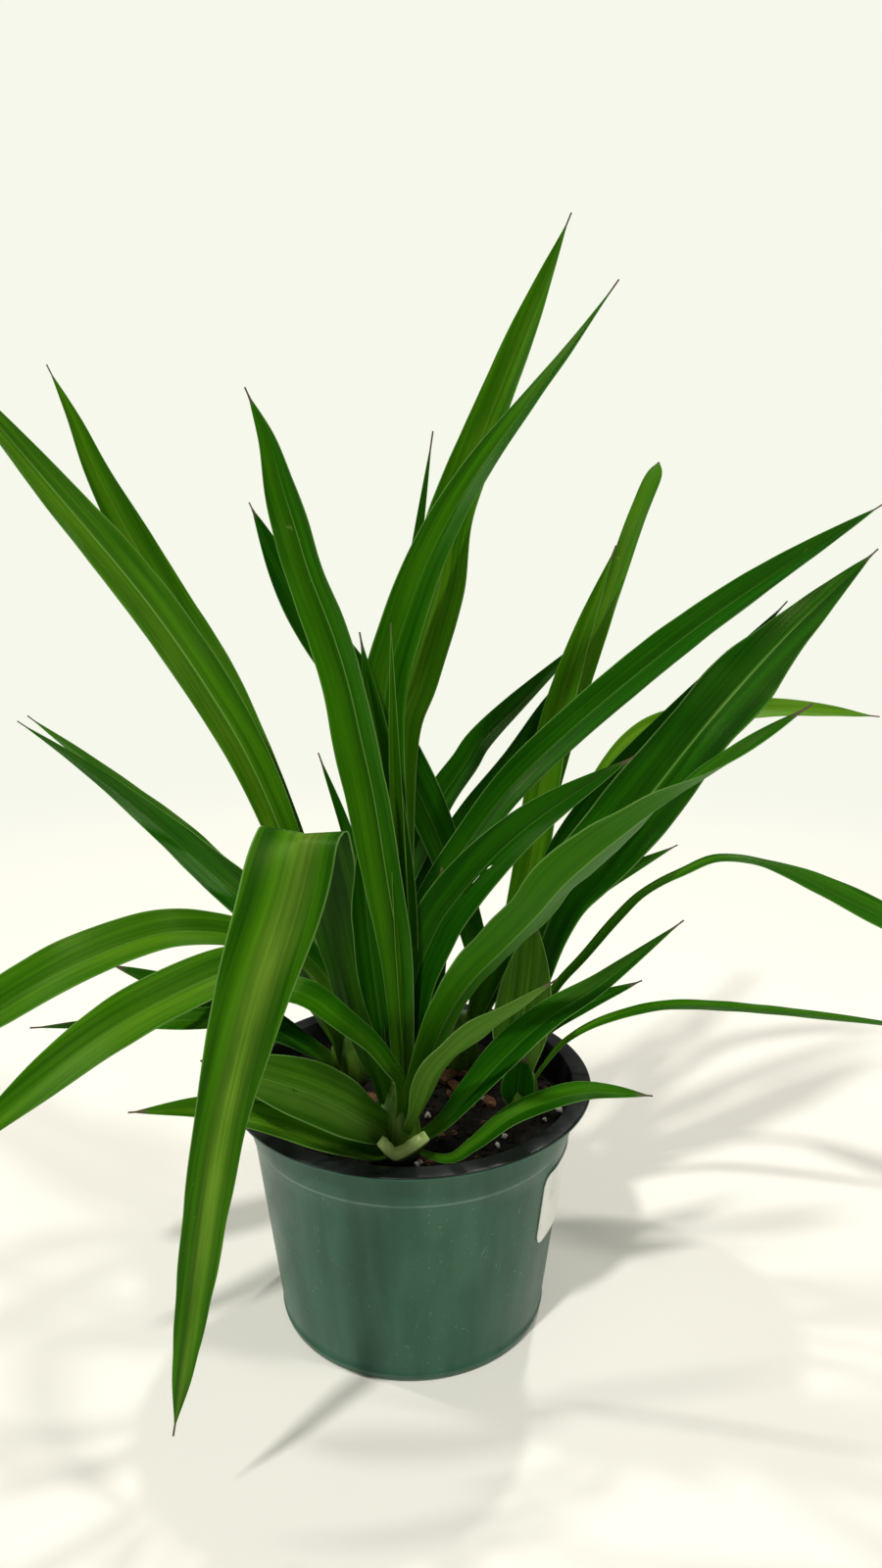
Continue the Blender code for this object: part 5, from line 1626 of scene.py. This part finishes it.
    def build(self) -> None:
        """Build the mix and everything that lies in it, and hand the pieces over."""
        hand_over(self.build_body(), "soil")
        top = self.build_top()
        rule = GritRule()
        for grit in self.STREWN:
            hand_over(grit.strew(rule, top), "soil")
        bpy.data.objects.remove(top, do_unlink=True)
        hand_over(self.build_lumps("placed_white_grains", self.WHITE_GRAINS, 0.75, PERLITE),
                  "soil")
        hand_over(self.build_lumps("placed_bark", self.CHIPS, 0.35, BARK), "soil")


@dataclass
class PaperLabel:
    """The blank paper label stuck on the pot's wall, right of the front."""

    pot: NurseryPot
    left: float = math.radians(54.5)
    right: float = math.radians(90.0)
    low: float = 0.0520
    high: float = 0.0880
    corner: float = 0.005
    thickness: float = 0.0003
    gap: float = 0.0002
    cockle: float = 0.0001
    columns: int = 40
    rows: int = 36

    def build(self) -> None:
        """Build the label, its corners round and its skin a little cockled."""
        width = self.pot.wall_radius(0.5 * (self.low + self.high)) * (self.right - self.left)
        height = self.high - self.low
        skins: list[list[Point]] = [[], []]
        for column in range(self.columns + 1):
            across = width * column / self.columns
            from_edge = min(across, width - across, self.corner)
            cut = self.corner - math.sqrt(max(0.0, self.corner ** 2
                                              - (self.corner - from_edge) ** 2))
            angle = self.left + (self.right - self.left) * column / self.columns
            for row in range(self.rows + 1):
                z = self.low + cut + (height - 2.0 * cut) * row / self.rows
                cockle = self.cockle * (1.0 + noise.noise(Vector((across * 90.0, z * 70.0, 2.0))))
                for skin, out in ((0, self.thickness + cockle), (1, 0.0)):
                    radius = self.pot.wall_radius(z) + self.gap + out
                    skins[skin].append((radius * math.sin(angle), -radius * math.cos(angle), z))
        wide = self.rows + 1
        loops = [(a, a + wide, a + wide + 1, a + 1) for column in range(self.columns)
                 for a in range(column * wide, column * wide + self.rows)]
        label = mesh_object("paper_label", skins[0] + skins[1],
                            shell_faces(loops, len(skins[0])))
        face_outwards(label, merge=0.00002)
        label.data.set_sharp_from_angle(angle=math.radians(50.0))
        label.data.materials.append(PaperFinish().material())
        hand_over(label, "label")


# Studio


@dataclass(frozen=True)
class SoftLight:
    """A far soft light: which way it shines from, how wide it looks and how strong it is."""

    name: str
    place: Point
    spread: float
    power: float
    colour: Colour = (1.0, 0.985, 0.95)


@dataclass
class Studio:
    """A pale floor, a pale surround, soft lights and the camera."""

    lens: float = 27.0
    sensor: float = 36.0
    tilt: float = math.radians(75.5)
    eye: Point = (0.0136, -0.493, 0.381)
    surround: Colour = (0.925, 0.940, 0.835)
    floor_tone: Colour = (0.955, 0.930, 0.860)
    glow: float = 0.20
    sheen: float = 0.09
    floor_reach: float = 4.0
    floor_fade: tuple[float, float] = (0.35, 1.1)

    LIGHTS = (
        SoftLight("key_light", (-0.45, -0.80, 1.30), spread=3.5, power=1.45),
        SoftLight("right_light", (0.60, -0.35, 1.20), spread=6.0, power=0.65),
        SoftLight("back_light", (0.35, 0.85, 1.25), spread=3.0, power=0.80),
        SoftLight("left_light", (-0.95, 0.25, 1.10), spread=3.5, power=0.70),
    )

    def build_camera(self) -> None:
        """Set the camera where the photograph was taken from."""
        data = bpy.data.cameras.new("camera")
        data.lens = self.lens
        data.sensor_width = self.sensor
        data.clip_start = 0.01
        camera = place_object("camera", data)
        camera.location = self.eye
        camera.rotation_euler = (self.tilt, 0.0, 0.0)
        bpy.context.scene.camera = camera

    def build_lights(self) -> None:
        """Hang the lights and light the surround, brighter to the eye than to the leaves."""
        for light in self.LIGHTS:
            data = bpy.data.lights.new(light.name, "SUN")
            data.angle = math.radians(light.spread)
            data.energy = light.power
            data.color = light.colour
            lamp = place_object(light.name, data)
            lamp.location = light.place
            lamp.rotation_euler = (-Vector(light.place)).to_track_quat("-Z", "Y").to_euler()
        world = bpy.data.worlds.new("surround")
        world.use_nodes = True
        bpy.context.scene.world = world
        w = Wiring(world.node_tree)
        path = w.add("ShaderNodeLightPath")
        background = world.node_tree.nodes["Background"]
        w.feed(background.inputs["Color"], self.surround)
        shown = w.ramp(path.outputs["Is Camera Ray"], 0.0, 1.0, self.glow, 1.0, smooth=False)
        sheen = w.times(path.outputs["Is Glossy Ray"], self.glow - self.sheen)
        w.feed(background.inputs["Strength"], w.math("SUBTRACT", shown, sheen))

    def build_floor(self) -> None:
        """Lay the pale floor, which melts into the surround far from the pot."""
        side = self.floor_reach
        floor = mesh_object("pale_floor", [(-side, -side, 0.0), (side, -side, 0.0),
                                           (side, side, 0.0), (-side, side, 0.0)], [(0, 1, 2, 3)])
        m = SurfaceWiring("pale_floor")
        cloud = m.noise(m.place((3.0, 3.0, 3.0)), detail=3.0)
        far = m.ramp(m.vector("LENGTH", m.place()), *self.floor_fade)
        pale = tuple(min(1.0, part * 1.04) for part in self.floor_tone)
        near = m.blend(m.ramp(cloud, 0.3, 0.7), self.floor_tone, pale)
        m.set(Base_Color=m.blend(far, near, (0.0, 0.0, 0.0)), Roughness=0.55,
              Specular_IOR_Level=0.0, Emission_Color=self.surround, Emission_Strength=far)
        floor.data.materials.append(m.material)

    def build(self) -> None:
        """Build the studio."""
        self.build_camera()
        self.build_lights()
        self.build_floor()
        scene = bpy.context.scene
        scene.view_settings.view_transform = "Standard"
        LOG.info("studio: camera, %d lights and a floor", len(self.LIGHTS))


def main() -> None:
    """Build and dress every piece."""
    logging.basicConfig(level=logging.INFO, format="%(name)s: %(message)s", stream=sys.stdout)
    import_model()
    Studio().build()
    pot = NurseryPot()
    pot.dress(pot.build())
    PottingMix(pot).build()
    PaperLabel(pot).build()
    rule = StrapLeafRule()
    skins = {tone: tone.value.material() for tone in LeafTone}
    sheath = SheathFinish().material()
    for crown in CROWNS:
        crown.build_leaves(rule, skins)
        crown.build_stem(sheath)
    CutLeafBase().build(sheath)


if __name__ == "__main__":
    main()
